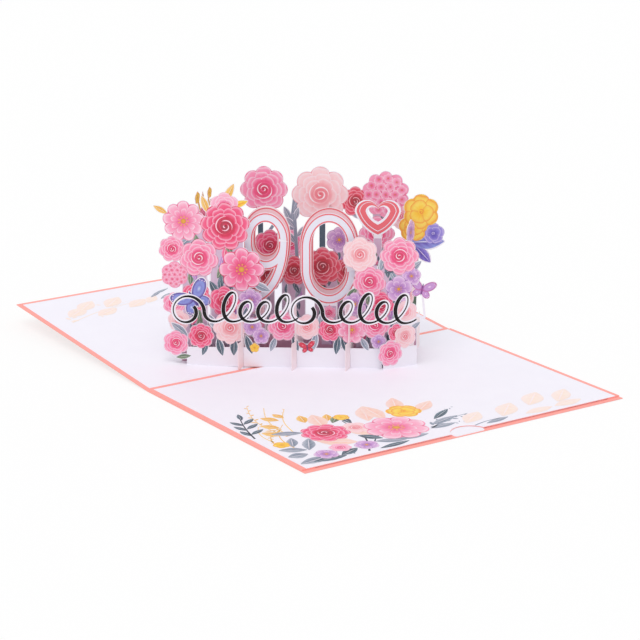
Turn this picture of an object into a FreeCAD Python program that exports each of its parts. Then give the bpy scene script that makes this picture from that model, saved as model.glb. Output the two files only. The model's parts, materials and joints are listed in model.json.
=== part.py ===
"""A pop-up greeting card, lying open.

The cover is one sheet of card folded once. Its front panel lies flat and carries a pocket with a note
card, and its back panel springs up by a few degrees. On the panels stands a lattice of paper: cut-out
sheets that run one way across the fold, and ribs that cross them in half-lap slots.

Millimetres. X runs along the fold, Y from the front panel to the back one, and Z is up. Heights on the
standing sheets are measured from the printed face of the front panel.
"""

import FreeCAD, Part

import math
import os
from dataclasses import dataclass, field

Vector = FreeCAD.Vector

# Cover and panels
FOLD_LENGTH = 200.0
PANEL_DEPTH = 150.0
COVER_THICKNESS = 0.4
BACK_LIFT_DEG = 4.3
BORDER = 2.8
FOLD_GAP = 2.3
LINER_THICKNESS = 0.2

# Pocket on the front panel
POCKET_THICKNESS = 0.3
POCKET_GAP = 0.4
POCKET_SEAM = 8.0
THUMB_RADIUS = 10.5
NOTE_THICKNESS = 0.3
NOTE_SIDE_CLEARANCE = 1.0
NOTE_BACK_CLEARANCE = 9.0
NOTE_SETBACK = 0.5
TAB_WIDTH = 19.0
TAB_SETBACK = 0.3
TAB_CORNER = 1.6

# Lattice of standing sheets and ribs
SHEET = 0.3
LATTICE_ANGLE_DEG = 36.0
LATTICE_X = -19.5
LATTICE_Y = -8.6
SLOT_CLEARANCE = 0.08
LAP_HEIGHT = 8.0
FRONT_WALL_OFFSET = 0.0
BOUQUET_OFFSET = 5.0
NUMERAL_FRONT_OFFSET = 10.0
PLAQUE_OFFSET = 14.0
NUMERAL_BACK_OFFSET = 18.5
MID_FLOWERS_OFFSET = 27.0
IRIS_OFFSET = 31.5
BACK_WALL_OFFSET = 36.0
FLOURISH_OFFSET = -8.0

# Foot tabs, folded back under a standing sheet and glued to a panel
FOOT_WIDTH = 13.0
FOOT_DEPTH = 3.6
FOOT_TAPER = 2.0
FOOT_COLUMN = 30.0

# Ribs
RIB_FIRST = -53.0
RIB_PITCH = 29.0
RIB_COUNT = 4
END_RIB_STATION = 58.6
OUTER_RIB_SETBACK = 9.6
RIB_TIP = 7.0
RIB_TAIL = 5.0
RIB_HEIGHT = 20.0
RIB_TOE_HEIGHT = 15.0
RIB_NECK_WIDTH = 2.4
ARM_BOTTOM = 28.0
ARM_TOP = 37.0

# Right end sheet, turned towards the fold
END_SHEET_X = 22.4
END_SHEET_Y = -42.6
END_SHEET_ANGLE_DEG = 8.0
END_SHEET_LENGTH = 21.0
END_SHEET_HEIGHT = 11.0

# Cut outlines
PETAL_VALLEY = 0.86
STEM_WIDTH = 2.2
STRIP_HEIGHT = 16.0
FRONT_STRIP_HEIGHT = 11.0
RIBBON_NUDGE = 0.001

# Butterfly's body, as shares of its span
BODY_HALF_WIDTH = 0.05
BODY_HALF_HEIGHT = 0.24

# Numerals
NUMERAL_TOP = 83.8
NUMERAL_BOTTOM = 33.0
NUMERAL_STROKE = 5.4
NUMERAL_OUTSET = 1.0
NUMERAL_ROUNDNESS = 1.3
ZERO_CENTRE = 24.4
ZERO_WIDTH = 30.2
NINE_CENTRE = -9.8
NINE_WIDTH = 24.6
NINE_BOWL_HEIGHT = 32.0
NINE_TAIL_REACH = 18.0
NINE_TAIL_DROP = 32.0
NUMERAL_POST_WIDTH = 9.0

# Plaque
PLAQUE_ACROSS = 50.6
PLAQUE_UP = 84.0
PLAQUE_WIDTH = 25.0
PLAQUE_POINT = 14.0
PLAQUE_HOLE = 0.42
PLAQUE_STEM_WIDTH = 4.4

# Heart, as shares of its width
HEART_SIDE_ACROSS = 0.34
HEART_SIDE_DOWN = 0.3
HEART_NOTCH = 0.08

# Flourish, a chain of pen loops with a large curl at each start
PEN_POINTS = 6
PEN_PIECES = 4
PEN_HALF_WIDTH = 1.25
FLOURISH_UP = 33.5
FLOURISH_SLANT = 0.3
LOOP_PITCH = 9.6
LOOP_SWING = 5.0
LOOP_HEIGHT = 5.6
LOOP_START = 0.25
LOOP_TAIL = 0.4
CURL_OUTER = 9.4
CURL_INNER = 4.6
CURL_TURNS = 1.1

LATTICE_ANGLE = math.radians(LATTICE_ANGLE_DEG)
BACK_LIFT = math.radians(BACK_LIFT_DEG)
POCKET_TOP = COVER_THICKNESS + POCKET_GAP + POCKET_THICKNESS
SURFACE = POCKET_TOP + LINER_THICKNESS
BACK_SURFACE = COVER_THICKNESS + LINER_THICKNESS
FOLD_SHIFT = PANEL_DEPTH * (1.0 - math.cos(BACK_LIFT)) / 2.0
RIB_STEP = 1.0 / math.sin(2.0 * LATTICE_ANGLE)
BEYOND = 2.0 * PANEL_DEPTH


@dataclass(frozen=True)
class Bloom:
    """A flower, cut round its petals.

    Attributes:
        across: its middle's place along the sheet.
        up: its middle's height.
        reach: from the middle to a petal's tip.
        petals: number of petals on the rim.
    """

    across: float
    up: float
    reach: float
    petals: int


@dataclass(frozen=True)
class Leaf:
    """A leaf that starts at its root and points `turn` degrees from the sheet's direction."""

    across: float
    up: float
    length: float
    width: float
    turn: float


@dataclass(frozen=True)
class Stem:
    """A straight stem between two places."""

    across: float
    up: float
    to_across: float
    to_up: float
    width: float = STEM_WIDTH


@dataclass(frozen=True)
class Strip:
    """The plain band along a sheet's foot, which the ribs cross."""

    left: float
    right: float
    height: float = STRIP_HEIGHT


@dataclass(frozen=True)
class Butterfly:
    """A butterfly of four wings, `turn` degrees from upright."""

    across: float
    up: float
    span: float
    turn: float


@dataclass(frozen=True)
class Wing:
    """A butterfly's wing: sizes and place as shares of the span, and its turn in degrees."""

    half_length: float
    half_width: float
    across: float
    up: float
    turn: float


@dataclass(frozen=True)
class Foot:
    """A foot tab, glued to the front panel or to the back one."""

    across: float
    on_back: bool = False


@dataclass(frozen=True)
class Sheet:
    """A standing cut-out sheet of the lattice.

    Attributes:
        name: node name.
        offset: how far it lies behind the front wall.
        strip: its foot band.
        items: flowers, leaves and stems that it is cut round.
        feet: its foot tabs.
    """

    name: str
    offset: float
    strip: Strip
    items: list = field(default_factory=list)
    feet: list = field(default_factory=list)


class Plane:
    """An upright plane of the lattice: a starting point and a direction in plan."""

    def __init__(self, start: Vector, angle: float) -> None:
        self.start = start
        self.along = Vector(math.cos(angle), math.sin(angle), 0.0)
        self.front = Vector(math.sin(angle), -math.cos(angle), 0.0)

    def placement(self) -> FreeCAD.Placement:
        """Returns the placement that stands a flat drawing up in this plane."""
        turned = FreeCAD.Rotation(self.along, Vector(0.0, 0.0, 1.0), self.front, "ZXY")
        return FreeCAD.Placement(self.start + Vector(0.0, 0.0, SURFACE), turned)

    def stand(self, flat: Part.Shape, lift: float = 0.0) -> Part.Shape:
        """Thickens a flat shape to the back and stands it up in this plane.

        Args:
            flat: the shape, X along the sheet and Y up.
            lift: how far in front of the plane the paper's face lies.

        Returns:
            The standing paper, one solid for each separate island of the shape.
        """
        solid = flat.extrude(Vector(0.0, 0.0, -SHEET))
        solid.translate(Vector(0.0, 0.0, lift))
        solid.Placement = self.placement().multiply(solid.Placement)
        return solid

    def slab(self, left: float, right: float, bottom: float, top: float) -> Part.Shape:
        """Returns the space that this plane's paper needs in a slot."""
        box = Part.makeBox(right - left, top - bottom, SHEET + 2.0 * SLOT_CLEARANCE)
        box.translate(Vector(left, bottom, -SHEET - SLOT_CLEARANCE))
        box.Placement = self.placement().multiply(box.Placement)
        return box


def sheet_plane(offset: float) -> Plane:
    """Returns the plane of the sheet that lies `offset` behind the front wall."""
    x = LATTICE_X + offset * math.sin(LATTICE_ANGLE)
    y = LATTICE_Y + offset * math.cos(LATTICE_ANGLE)
    return Plane(Vector(x, y, 0.0), -LATTICE_ANGLE)


def rib_plane(station: float) -> Plane:
    """Returns the plane of the rib whose tip line stands at `station` along the sheets."""
    tip = sheet_plane(-RIB_TIP)
    return Plane(tip.start + tip.along * station, LATTICE_ANGLE)


def rib_reach(offset: float) -> float:
    """Returns how far along a rib the sheet at `offset` crosses it."""
    return (offset + RIB_TIP) * RIB_STEP


def point(across: float, up: float) -> Vector:
    """Returns a point of a flat drawing."""
    return Vector(across, up, 0.0)


def polar(across: float, up: float, reach: float, angle: float) -> Vector:
    """Returns the point at `reach` and `angle` from a middle point."""
    return point(across + reach * math.cos(angle), up + reach * math.sin(angle))


def polygon(corners: list) -> Part.Wire:
    """Returns the closed line round straight sides."""
    return Part.makePolygon(corners + [corners[0]])


def cut_shape(outline: Part.Wire) -> Part.Shape:
    """Returns the flat shape inside an outline, which runs anticlockwise."""
    return Part.Face(outline)


def rectangle(left: float, right: float, bottom: float, top: float) -> Part.Shape:
    """Returns an upright rectangle."""
    corners = [point(left, bottom), point(right, bottom), point(right, top), point(left, top)]
    return cut_shape(polygon(corners))


def joined(shapes: list) -> Part.Shape:
    """Joins flat shapes that overlap into one face."""
    whole = shapes[0].multiFuse(shapes[1:]).removeSplitter()
    return whole.Faces[0] if len(whole.Faces) == 1 else whole


def bloom_shape(bloom: Bloom) -> Part.Shape:
    """Returns a flower's outline, one arc for each petal."""
    step = 2.0 * math.pi / bloom.petals
    valley = bloom.reach * PETAL_VALLEY
    arcs = []
    for petal in range(bloom.petals):
        middle = math.pi / 2.0 + petal * step
        start = polar(bloom.across, bloom.up, valley, middle - step / 2.0)
        tip = polar(bloom.across, bloom.up, bloom.reach, middle)
        end = polar(bloom.across, bloom.up, valley, middle + step / 2.0)
        arcs.append(Part.Arc(start, tip, end).toShape())
    return cut_shape(Part.Wire(arcs))


def leaf_shape(leaf: Leaf) -> Part.Shape:
    """Returns a leaf's outline, two arcs that meet at its root and its tip."""
    root = point(0.0, 0.0)
    tip = point(leaf.length, 0.0)
    under = Part.Arc(root, point(leaf.length / 2.0, -leaf.width / 2.0), tip).toShape()
    over = Part.Arc(tip, point(leaf.length / 2.0, leaf.width / 2.0), root).toShape()
    blade = cut_shape(Part.Wire([under, over]))
    blade.rotate(root, Vector(0.0, 0.0, 1.0), leaf.turn)
    blade.translate(point(leaf.across, leaf.up))
    return blade


def stem_shape(stem: Stem) -> Part.Shape:
    """Returns a stem's outline."""
    start = point(stem.across, stem.up)
    end = point(stem.to_across, stem.to_up)
    along = (end - start).normalize()
    side = Vector(-along.y, along.x, 0.0) * (stem.width / 2.0)
    return cut_shape(polygon([start - side, end - side, end + side, start + side]))


def strip_shape(strip: Strip) -> Part.Shape:
    """Returns a foot band's outline. It starts below the panels, which trim it."""
    return rectangle(strip.left, strip.right, -SURFACE, strip.height)


def ellipse_shape(across: float, up: float, half_width: float, half_height: float) -> Part.Shape:
    """Returns an upright or level ellipse."""
    middle = point(across, up)
    right = point(across + half_width, up)
    left = point(across - half_width, up)
    top = point(across, up + half_height)
    ends = (right, top) if half_width > half_height else (top, left)
    return cut_shape(Part.Wire([Part.Ellipse(ends[0], ends[1], middle).toShape()]))


def disc_shape(middle: Vector, radius: float) -> Part.Shape:
    """Returns a round disc."""
    return cut_shape(Part.Wire([Part.Circle(middle, Vector(0.0, 0.0, 1.0), radius).toShape()]))


WINGS = [
    Wing(half_length=0.3, half_width=0.17, across=0.24, up=0.15, turn=38.0),
    Wing(half_length=0.2, half_width=0.14, across=0.16, up=-0.14, turn=-45.0),
]


def butterfly_shape(butterfly: Butterfly) -> Part.Shape:
    """Returns a butterfly's outline: two large wings, two small ones and a body."""
    span = butterfly.span
    shapes = [ellipse_shape(0.0, 0.0, span * BODY_HALF_WIDTH, span * BODY_HALF_HEIGHT)]
    for side in (-1.0, 1.0):
        for wing in WINGS:
            blade = ellipse_shape(0.0, 0.0, span * wing.half_length, span * wing.half_width)
            blade.rotate(point(0.0, 0.0), Vector(0.0, 0.0, 1.0), side * wing.turn)
            blade.translate(point(side * span * wing.across, span * wing.up))
            shapes.append(blade)
    whole = joined(shapes)
    whole.rotate(point(0.0, 0.0), Vector(0.0, 0.0, 1.0), butterfly.turn)
    whole.translate(point(butterfly.across, butterfly.up))
    return whole


OUTLINES = {
    Bloom: bloom_shape,
    Leaf: leaf_shape,
    Stem: stem_shape,
    Strip: strip_shape,
    Butterfly: butterfly_shape,
}


def drawing(items: list) -> Part.Shape:
    """Returns one flat shape, cut round flowers, leaves, stems and strips."""
    return joined([OUTLINES[type(item)](item) for item in items])


def ribbon(path, start: float, end: float, half_width: float) -> Part.Shape:
    """Returns the flat shape of a stroke of constant width along a path.

    Args:
        path: function from a number to a point of the drawing.
        start: the number where the stroke starts.
        end: the number where it ends.
        half_width: half of the stroke's width.
    """
    nudge = (end - start) * RIBBON_NUDGE
    left = []
    right = []
    for step in range(PEN_POINTS):
        place = start + (end - start) * step / (PEN_POINTS - 1)
        along = (path(place + nudge) - path(place - nudge)).normalize()
        side = Vector(-along.y, along.x, 0.0) * half_width
        left.append(path(place) + side)
        right.append(path(place) - side)
    first = Part.makeLine(left[0], right[0])
    last = Part.makeLine(right[-1], left[-1])
    lower = Part.BSplineCurve()
    lower.interpolate(right)
    upper = Part.BSplineCurve()
    upper.interpolate(list(reversed(left)))
    return cut_shape(Part.Wire([lower.toShape(), last, upper.toShape(), first]))


def panel_space() -> Part.Shape:
    """Returns the space under both panels' printed faces, which trims the sheets' feet."""
    flat = Part.makeBox(2.0 * BEYOND, 2.0 * BEYOND, BEYOND)
    flat.translate(Vector(-BEYOND, -BEYOND, SURFACE - BEYOND))
    raised = Part.makeBox(2.0 * BEYOND, BEYOND, BEYOND)
    raised.translate(Vector(-BEYOND, 0.0, BACK_SURFACE - BEYOND))
    raised.rotate(Vector(0.0, 0.0, 0.0), Vector(1.0, 0.0, 0.0), BACK_LIFT_DEG)
    return flat.fuse(raised)


def lifted(shape: Part.Shape) -> Part.Shape:
    """Turns a shape that was drawn on a flat back panel up with that panel."""
    shape.rotate(Vector(0.0, 0.0, 0.0), Vector(1.0, 0.0, 0.0), BACK_LIFT_DEG)
    return shape


def foot_tab(plane: Plane, foot: Foot) -> Part.Shape:
    """Returns a foot tab, lying on its panel behind the sheet."""
    near = FOOT_WIDTH / 2.0
    far = near - FOOT_TAPER
    back = plane.front * -1.0
    start = plane.start + back * SHEET + plane.along * foot.across
    corners = [
        start - plane.along * near,
        start + plane.along * near,
        start + plane.along * far + back * FOOT_DEPTH,
        start - plane.along * far + back * FOOT_DEPTH,
    ]
    column = Part.Face(polygon(corners)).extrude(Vector(0.0, 0.0, FOOT_COLUMN))
    bottom = BACK_SURFACE if foot.on_back else SURFACE
    layer = Part.makeBox(2.0 * BEYOND, 2.0 * BEYOND, SHEET)
    layer.translate(Vector(-BEYOND, -BEYOND, bottom))
    if foot.on_back:
        layer = lifted(layer)
    return column.common(layer)


def rib_stations() -> list:
    """Returns where each rib's tip line stands along the sheets."""
    return [RIB_FIRST + number * RIB_PITCH for number in range(RIB_COUNT)] + [END_RIB_STATION]


def rib_start(station: float) -> float:
    """Returns where a rib's front end lies along it: the outer two start behind the wall."""
    return OUTER_RIB_SETBACK if station in (RIB_FIRST, END_RIB_STATION) else 0.0


def rib_end() -> float:
    """Returns where the ribs' back ends lie along them."""
    return rib_reach(BACK_WALL_OFFSET + RIB_TAIL)


def end_sheet_plane() -> Plane:
    """Returns the plane of the sheet at the right end."""
    return Plane(Vector(END_SHEET_X, END_SHEET_Y, 0.0), -math.radians(END_SHEET_ANGLE_DEG))


def rib_slots() -> Part.Shape:
    """Returns the slots that the ribs need in the sheets, open at the foot."""
    slots = [
        rib_plane(station).slab(rib_start(station), rib_end(), -SURFACE, LAP_HEIGHT)
        for station in rib_stations()
    ]
    return Part.makeCompound(slots)


def sheet_slots(sheets: list) -> Part.Shape:
    """Returns the slots that the sheets need in the ribs, open at the top."""
    slots = [
        sheet_plane(sheet.offset).slab(sheet.strip.left, sheet.strip.right, LAP_HEIGHT, BEYOND)
        for sheet in sheets
    ]
    slots.append(end_sheet_plane().slab(0.0, END_SHEET_LENGTH, LAP_HEIGHT, BEYOND))
    return Part.makeCompound(slots)


def cover_card() -> Part.Shape:
    """Returns the cover: one folded card, its front panel flat and its back panel raised."""
    rise = math.tan(BACK_LIFT / 2.0) * COVER_THICKNESS
    front_low = Vector(0.0, -PANEL_DEPTH, 0.0)
    back_low = Vector(0.0, PANEL_DEPTH * math.cos(BACK_LIFT), PANEL_DEPTH * math.sin(BACK_LIFT))
    normal = Vector(0.0, -math.sin(BACK_LIFT), math.cos(BACK_LIFT))
    profile = polygon([
        front_low,
        Vector(0.0, 0.0, 0.0),
        back_low,
        back_low + normal * COVER_THICKNESS,
        Vector(0.0, -rise, COVER_THICKNESS),
        front_low + Vector(0.0, 0.0, COVER_THICKNESS),
    ])
    solid = Part.Face(profile).extrude(Vector(FOLD_LENGTH, 0.0, 0.0))
    solid.translate(Vector(-FOLD_LENGTH / 2.0, 0.0, 0.0))
    return solid


def plate(width: float, near: float, far: float, bottom: float, thickness: float) -> Part.Shape:
    """Returns a flat plate, centred along the fold."""
    box = Part.makeBox(width, far - near, thickness)
    box.translate(Vector(-width / 2.0, near, bottom))
    return box


def thumb_notch() -> Part.Shape:
    """Returns the half round that lets a thumb reach the note card."""
    notch = Part.makeCylinder(THUMB_RADIUS, BEYOND)
    notch.translate(Vector(0.0, -PANEL_DEPTH, COVER_THICKNESS))
    return notch


def back_liner() -> Part.Shape:
    """Returns the printed liner of the back panel."""
    width = FOLD_LENGTH - 2.0 * BORDER
    liner = plate(width, FOLD_GAP, PANEL_DEPTH - BORDER, COVER_THICKNESS, LINER_THICKNESS)
    return lifted(liner)


def pocket_panel() -> Part.Shape:
    """Returns the pocket: a card over the front panel with three seams folded under it.

    Its open front edge ends short of the cover's, so that the cover shows in front of it.
    """
    near = BORDER - PANEL_DEPTH
    far = -FOLD_GAP / 2.0
    top = plate(FOLD_LENGTH, near, far, COVER_THICKNESS + POCKET_GAP, POCKET_THICKNESS)
    inside = plate(
        FOLD_LENGTH - 2.0 * POCKET_SEAM,
        near,
        far - POCKET_SEAM,
        COVER_THICKNESS,
        POCKET_GAP,
    )
    seams = plate(FOLD_LENGTH, near, far, COVER_THICKNESS, POCKET_GAP).cut(inside)
    return top.fuse(seams).removeSplitter().cut(thumb_notch())


def front_liner() -> Part.Shape:
    """Returns the printed liner on the pocket."""
    width = FOLD_LENGTH - 2.0 * BORDER
    liner = plate(width, BORDER - PANEL_DEPTH, -FOLD_GAP, POCKET_TOP, LINER_THICKNESS)
    return liner.cut(thumb_notch())


def note_card() -> Part.Shape:
    """Returns the plain card in the pocket, with a pull tab that lies in the thumb notch."""
    width = FOLD_LENGTH - 2.0 * POCKET_SEAM - 2.0 * NOTE_SIDE_CLEARANCE
    near = NOTE_SETBACK + BORDER - PANEL_DEPTH
    far = -POCKET_SEAM - FOLD_GAP / 2.0 - NOTE_BACK_CLEARANCE
    tip = TAB_SETBACK - PANEL_DEPTH
    tab = plate(TAB_WIDTH, tip, near, COVER_THICKNESS, NOTE_THICKNESS)
    corners = [
        edge
        for edge in tab.Edges
        if edge.BoundBox.ZLength > NOTE_THICKNESS / 2.0 and edge.BoundBox.YMax < near
    ]
    tab = tab.makeFillet(TAB_CORNER, corners)
    return plate(width, near, far, COVER_THICKNESS, NOTE_THICKNESS).fuse(tab).removeSplitter()


def rounded_oval(across: float, bottom: float, top: float, width: float) -> Part.Shape:
    """Returns a tall oval: straight sides between two half ellipses."""
    half_width = width / 2.0
    end = half_width * NUMERAL_ROUNDNESS
    return joined([
        ellipse_shape(across, top - end, half_width, end),
        ellipse_shape(across, bottom + end, half_width, end),
        rectangle(across - half_width, across + half_width, bottom + end, top - end),
    ])


def numeral_ovals(outset: float) -> list:
    """Returns the nine's bowl and the zero, filled, and `outset` larger all round."""
    return [
        rounded_oval(across, bottom - outset, NUMERAL_TOP + outset, width + 2.0 * outset)
        for across, bottom, width in (
            (NINE_CENTRE, NUMERAL_TOP - NINE_BOWL_HEIGHT, NINE_WIDTH),
            (ZERO_CENTRE, NUMERAL_BOTTOM, ZERO_WIDTH),
        )
    ]


def nine_tail(outset: float) -> list:
    """Returns the nine's tail: a quarter of an ellipse with a round end."""
    start = NINE_CENTRE + (NINE_WIDTH - NUMERAL_STROKE) / 2.0
    middle = start - NINE_TAIL_REACH
    level = NUMERAL_TOP - NINE_BOWL_HEIGHT / 2.0
    half = NUMERAL_STROKE / 2.0 + outset

    def path(angle: float) -> Vector:
        return point(middle + NINE_TAIL_REACH * math.cos(angle), level - NINE_TAIL_DROP * math.sin(angle))

    return [
        ribbon(path, 0.0, math.pi / 2.0, half),
        disc_shape(path(math.pi / 2.0), half),
    ]


def numeral_shapes(outset: float) -> list:
    """Returns the figures nine and zero, not yet open, with the posts that carry them."""
    half_post = NUMERAL_POST_WIDTH / 2.0
    post_top = NUMERAL_BOTTOM + NUMERAL_STROKE / 2.0
    posts = [
        rectangle(centre - half_post, centre + half_post, 0.0, post_top)
        for centre in (NINE_CENTRE - half_post, ZERO_CENTRE)
    ]
    return numeral_ovals(outset) + nine_tail(outset) + posts


def numeral_holes(outset: float) -> list:
    """Returns the openings of the nine and the zero."""
    return numeral_ovals(-NUMERAL_STROKE - outset)


def heart_shape(across: float, up: float, width: float) -> Part.Shape:
    """Returns a heart: two round lobes with a notch between them, over a point."""
    radius = width / 4.0
    side = width * HEART_SIDE_ACROSS
    waist = up - width * HEART_SIDE_DOWN
    left = point(across - width / 2.0, up)
    right = point(across + width / 2.0, up)
    middle = point(across, up + width * HEART_NOTCH)
    tip = point(across, up - PLAQUE_POINT * width / PLAQUE_WIDTH)
    edges = [
        Part.Arc(left, point(across - side, waist), tip).toShape(),
        Part.Arc(tip, point(across + side, waist), right).toShape(),
        Part.Arc(right, point(across + radius, up + radius), middle).toShape(),
        Part.Arc(middle, point(across - radius, up + radius), left).toShape(),
    ]
    return cut_shape(Part.Wire(edges))


def plaque_shapes() -> list:
    """Returns the heart plaque, not yet open, and its stem."""
    heart = heart_shape(PLAQUE_ACROSS, PLAQUE_UP, PLAQUE_WIDTH)
    half_stem = PLAQUE_STEM_WIDTH / 2.0
    stem_top = PLAQUE_UP - PLAQUE_POINT + half_stem
    return [heart, rectangle(PLAQUE_ACROSS - half_stem, PLAQUE_ACROSS + half_stem, 0.0, stem_top)]


def plaque_hole() -> list:
    """Returns the opening in the heart."""
    return [heart_shape(PLAQUE_ACROSS, PLAQUE_UP, PLAQUE_WIDTH * PLAQUE_HOLE)]


def pen_loops(start: float, tallness: tuple):
    """Returns the path of a chain of pen loops, one for each whole number.

    Args:
        start: where the chain starts, on its way down.
        tallness: how much higher than the lowest a loop reaches, as a share, for each loop.
    """

    def path(turn: float) -> Vector:
        loop = math.floor(turn - LOOP_START)
        angle = 2.0 * math.pi * (turn - LOOP_START)
        extra = tallness[loop] if 0 <= loop < len(tallness) else 0.0
        rise = LOOP_HEIGHT * (extra * (1.0 - math.cos(angle)) / 2.0 - math.cos(angle))
        swing = LOOP_SWING * (1.0 + math.sin(angle))
        return point(start + LOOP_PITCH * turn + swing + FLOURISH_SLANT * rise, FLOURISH_UP + rise)

    return path


def pen_curl(end: float):
    """Returns the path of a curl that winds out to `end`, where a chain of loops starts."""

    def path(turn: float) -> Vector:
        reach = CURL_INNER + (CURL_OUTER - CURL_INNER) * turn / CURL_TURNS
        angle = 2.0 * math.pi * (CURL_TURNS - turn)
        return polar(end - CURL_OUTER, FLOURISH_UP, reach, angle)

    return path


def pen_stroke(path, start: float, end: float) -> list:
    """Returns a long stroke, drawn in pieces that don't cross themselves."""
    pieces = max(1, round((end - start) * PEN_PIECES))
    length = (end - start) / pieces
    return [
        ribbon(path, start + number * length, start + (number + 1) * length, PEN_HALF_WIDTH)
        for number in range(pieces)
    ]


@dataclass(frozen=True)
class Chain:
    """One pen chain of the flourish: where its loops start, and how tall each of them is."""

    start: float
    tallness: tuple


CHAINS = [
    Chain(start=-42.0, tallness=(0.9, 0.0, 0.0, 0.7)),
    Chain(start=21.5, tallness=(0.1, 0.9, 0.1, 0.8)),
]


def flourish() -> Part.Shape:
    """Returns the flourish, which hangs on the ribs' arms in front of the flowers."""
    shapes = []
    for chain in CHAINS:
        loops_end = len(chain.tallness) + LOOP_TAIL
        shapes.extend(pen_stroke(pen_loops(chain.start, chain.tallness), 0.0, loops_end))
        shapes.extend(pen_stroke(pen_curl(chain.start), 0.0, CURL_TURNS))
    return sheet_plane(FLOURISH_OFFSET).stand(joined(shapes))


def front_wall_sheet() -> Sheet:
    """Returns the front wall: a white band under a row of flowers."""
    return Sheet(
        name="front_wall",
        offset=FRONT_WALL_OFFSET,
        strip=Strip(left=-52.5, right=53.5, height=FRONT_STRIP_HEIGHT),
        items=[
            Bloom(across=-58.3, up=13.2, reach=7.2, petals=6),
            Bloom(across=-44.6, up=17.3, reach=7.2, petals=8),
            Bloom(across=-28.8, up=22.0, reach=9.4, petals=8),
            Bloom(across=-16.8, up=22.5, reach=5.2, petals=5),
            Bloom(across=-12.0, up=17.5, reach=4.8, petals=5),
            Bloom(across=-15.6, up=10.8, reach=2.8, petals=5),
            Bloom(across=0.0, up=23.4, reach=8.8, petals=7),
            Bloom(across=12.9, up=22.9, reach=7.2, petals=6),
            Bloom(across=25.3, up=21.4, reach=6.8, petals=7),
            Bloom(across=37.2, up=21.5, reach=8.0, petals=7),
            Bloom(across=49.8, up=24.4, reach=8.0, petals=7),
            Bloom(across=51.6, up=15.0, reach=4.4, petals=5),
            Leaf(across=-51.6, up=17.0, length=12.0, width=4.6, turn=140.0),
            Leaf(across=-50.0, up=6.0, length=8.6, width=3.2, turn=187.0),
            Leaf(across=-41.0, up=14.5, length=9.0, width=3.6, turn=-110.0),
            Leaf(across=-35.6, up=16.5, length=11.0, width=4.6, turn=-76.0),
            Leaf(across=-26.6, up=16.0, length=10.0, width=4.8, turn=-92.0),
            Leaf(across=-20.4, up=18.0, length=11.5, width=4.4, turn=-72.0),
            Leaf(across=-4.0, up=17.0, length=9.0, width=3.6, turn=-110.0),
            Leaf(across=5.0, up=18.0, length=9.5, width=3.8, turn=-70.0),
            Leaf(across=18.0, up=20.0, length=11.0, width=4.0, turn=-100.0),
            Leaf(across=30.0, up=18.0, length=11.0, width=4.4, turn=-98.0),
            Leaf(across=31.5, up=18.0, length=11.0, width=4.2, turn=-70.0),
            Leaf(across=42.0, up=17.0, length=8.5, width=3.6, turn=-60.0),
            Leaf(across=19.6, up=22.0, length=10.0, width=4.0, turn=80.0),
            Leaf(across=-20.6, up=24.0, length=10.0, width=4.0, turn=85.0),
            Leaf(across=-36.0, up=20.5, length=10.0, width=4.2, turn=115.0),
        ],
        feet=[Foot(across=-40.0, on_back=True), Foot(across=22.0), Foot(across=46.0)],
    )


def left_bouquet_sheet() -> Sheet:
    """Returns the tall bouquet at the left."""
    return Sheet(
        name="left_bouquet",
        offset=BOUQUET_OFFSET,
        strip=Strip(left=-56.0, right=-14.0),
        items=[
            Stem(across=-48.0, up=10.0, to_across=-48.0, to_up=76.0, width=14.0),
            Stem(across=-30.5, up=10.0, to_across=-30.5, to_up=72.0, width=19.0),
            Bloom(across=-31.3, up=77.2, reach=13.6, petals=9),
            Bloom(across=-31.5, up=88.0, reach=8.2, petals=6),
            Bloom(across=-53.6, up=80.0, reach=11.4, petals=9),
            Bloom(across=-45.5, up=59.7, reach=10.8, petals=7),
            Bloom(across=-22.6, up=53.4, reach=12.4, petals=8),
            Bloom(across=-58.8, up=50.2, reach=7.6, petals=6),
            Bloom(across=-60.0, up=64.5, reach=7.4, petals=7),
            Bloom(across=-47.5, up=38.0, reach=8.4, petals=7),
            Bloom(across=-59.5, up=34.0, reach=6.4, petals=6),
            Bloom(across=-32.0, up=35.5, reach=8.8, petals=7),
            Bloom(across=-18.0, up=36.0, reach=6.8, petals=6),
            Bloom(across=-57.0, up=24.4, reach=6.2, petals=5),
            Leaf(across=-32.0, up=90.0, length=12.5, width=4.6, turn=62.0),
            Leaf(across=-28.0, up=88.0, length=10.0, width=4.0, turn=20.0),
            Leaf(across=-40.0, up=84.0, length=11.0, width=4.2, turn=110.0),
            Leaf(across=-62.0, up=84.0, length=9.0, width=3.6, turn=150.0),
            Leaf(across=-36.0, up=48.0, length=11.0, width=5.0, turn=60.0),
            Leaf(across=-40.0, up=47.0, length=10.0, width=4.6, turn=-60.0),
            Leaf(across=-56.0, up=66.0, length=10.0, width=4.6, turn=40.0),
            Leaf(across=-17.0, up=46.0, length=11.0, width=4.6, turn=-25.0),
            Leaf(across=-27.0, up=44.0, length=11.0, width=4.8, turn=-130.0),
        ],
        feet=[Foot(across=-35.0, on_back=True)],
    )


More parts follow.
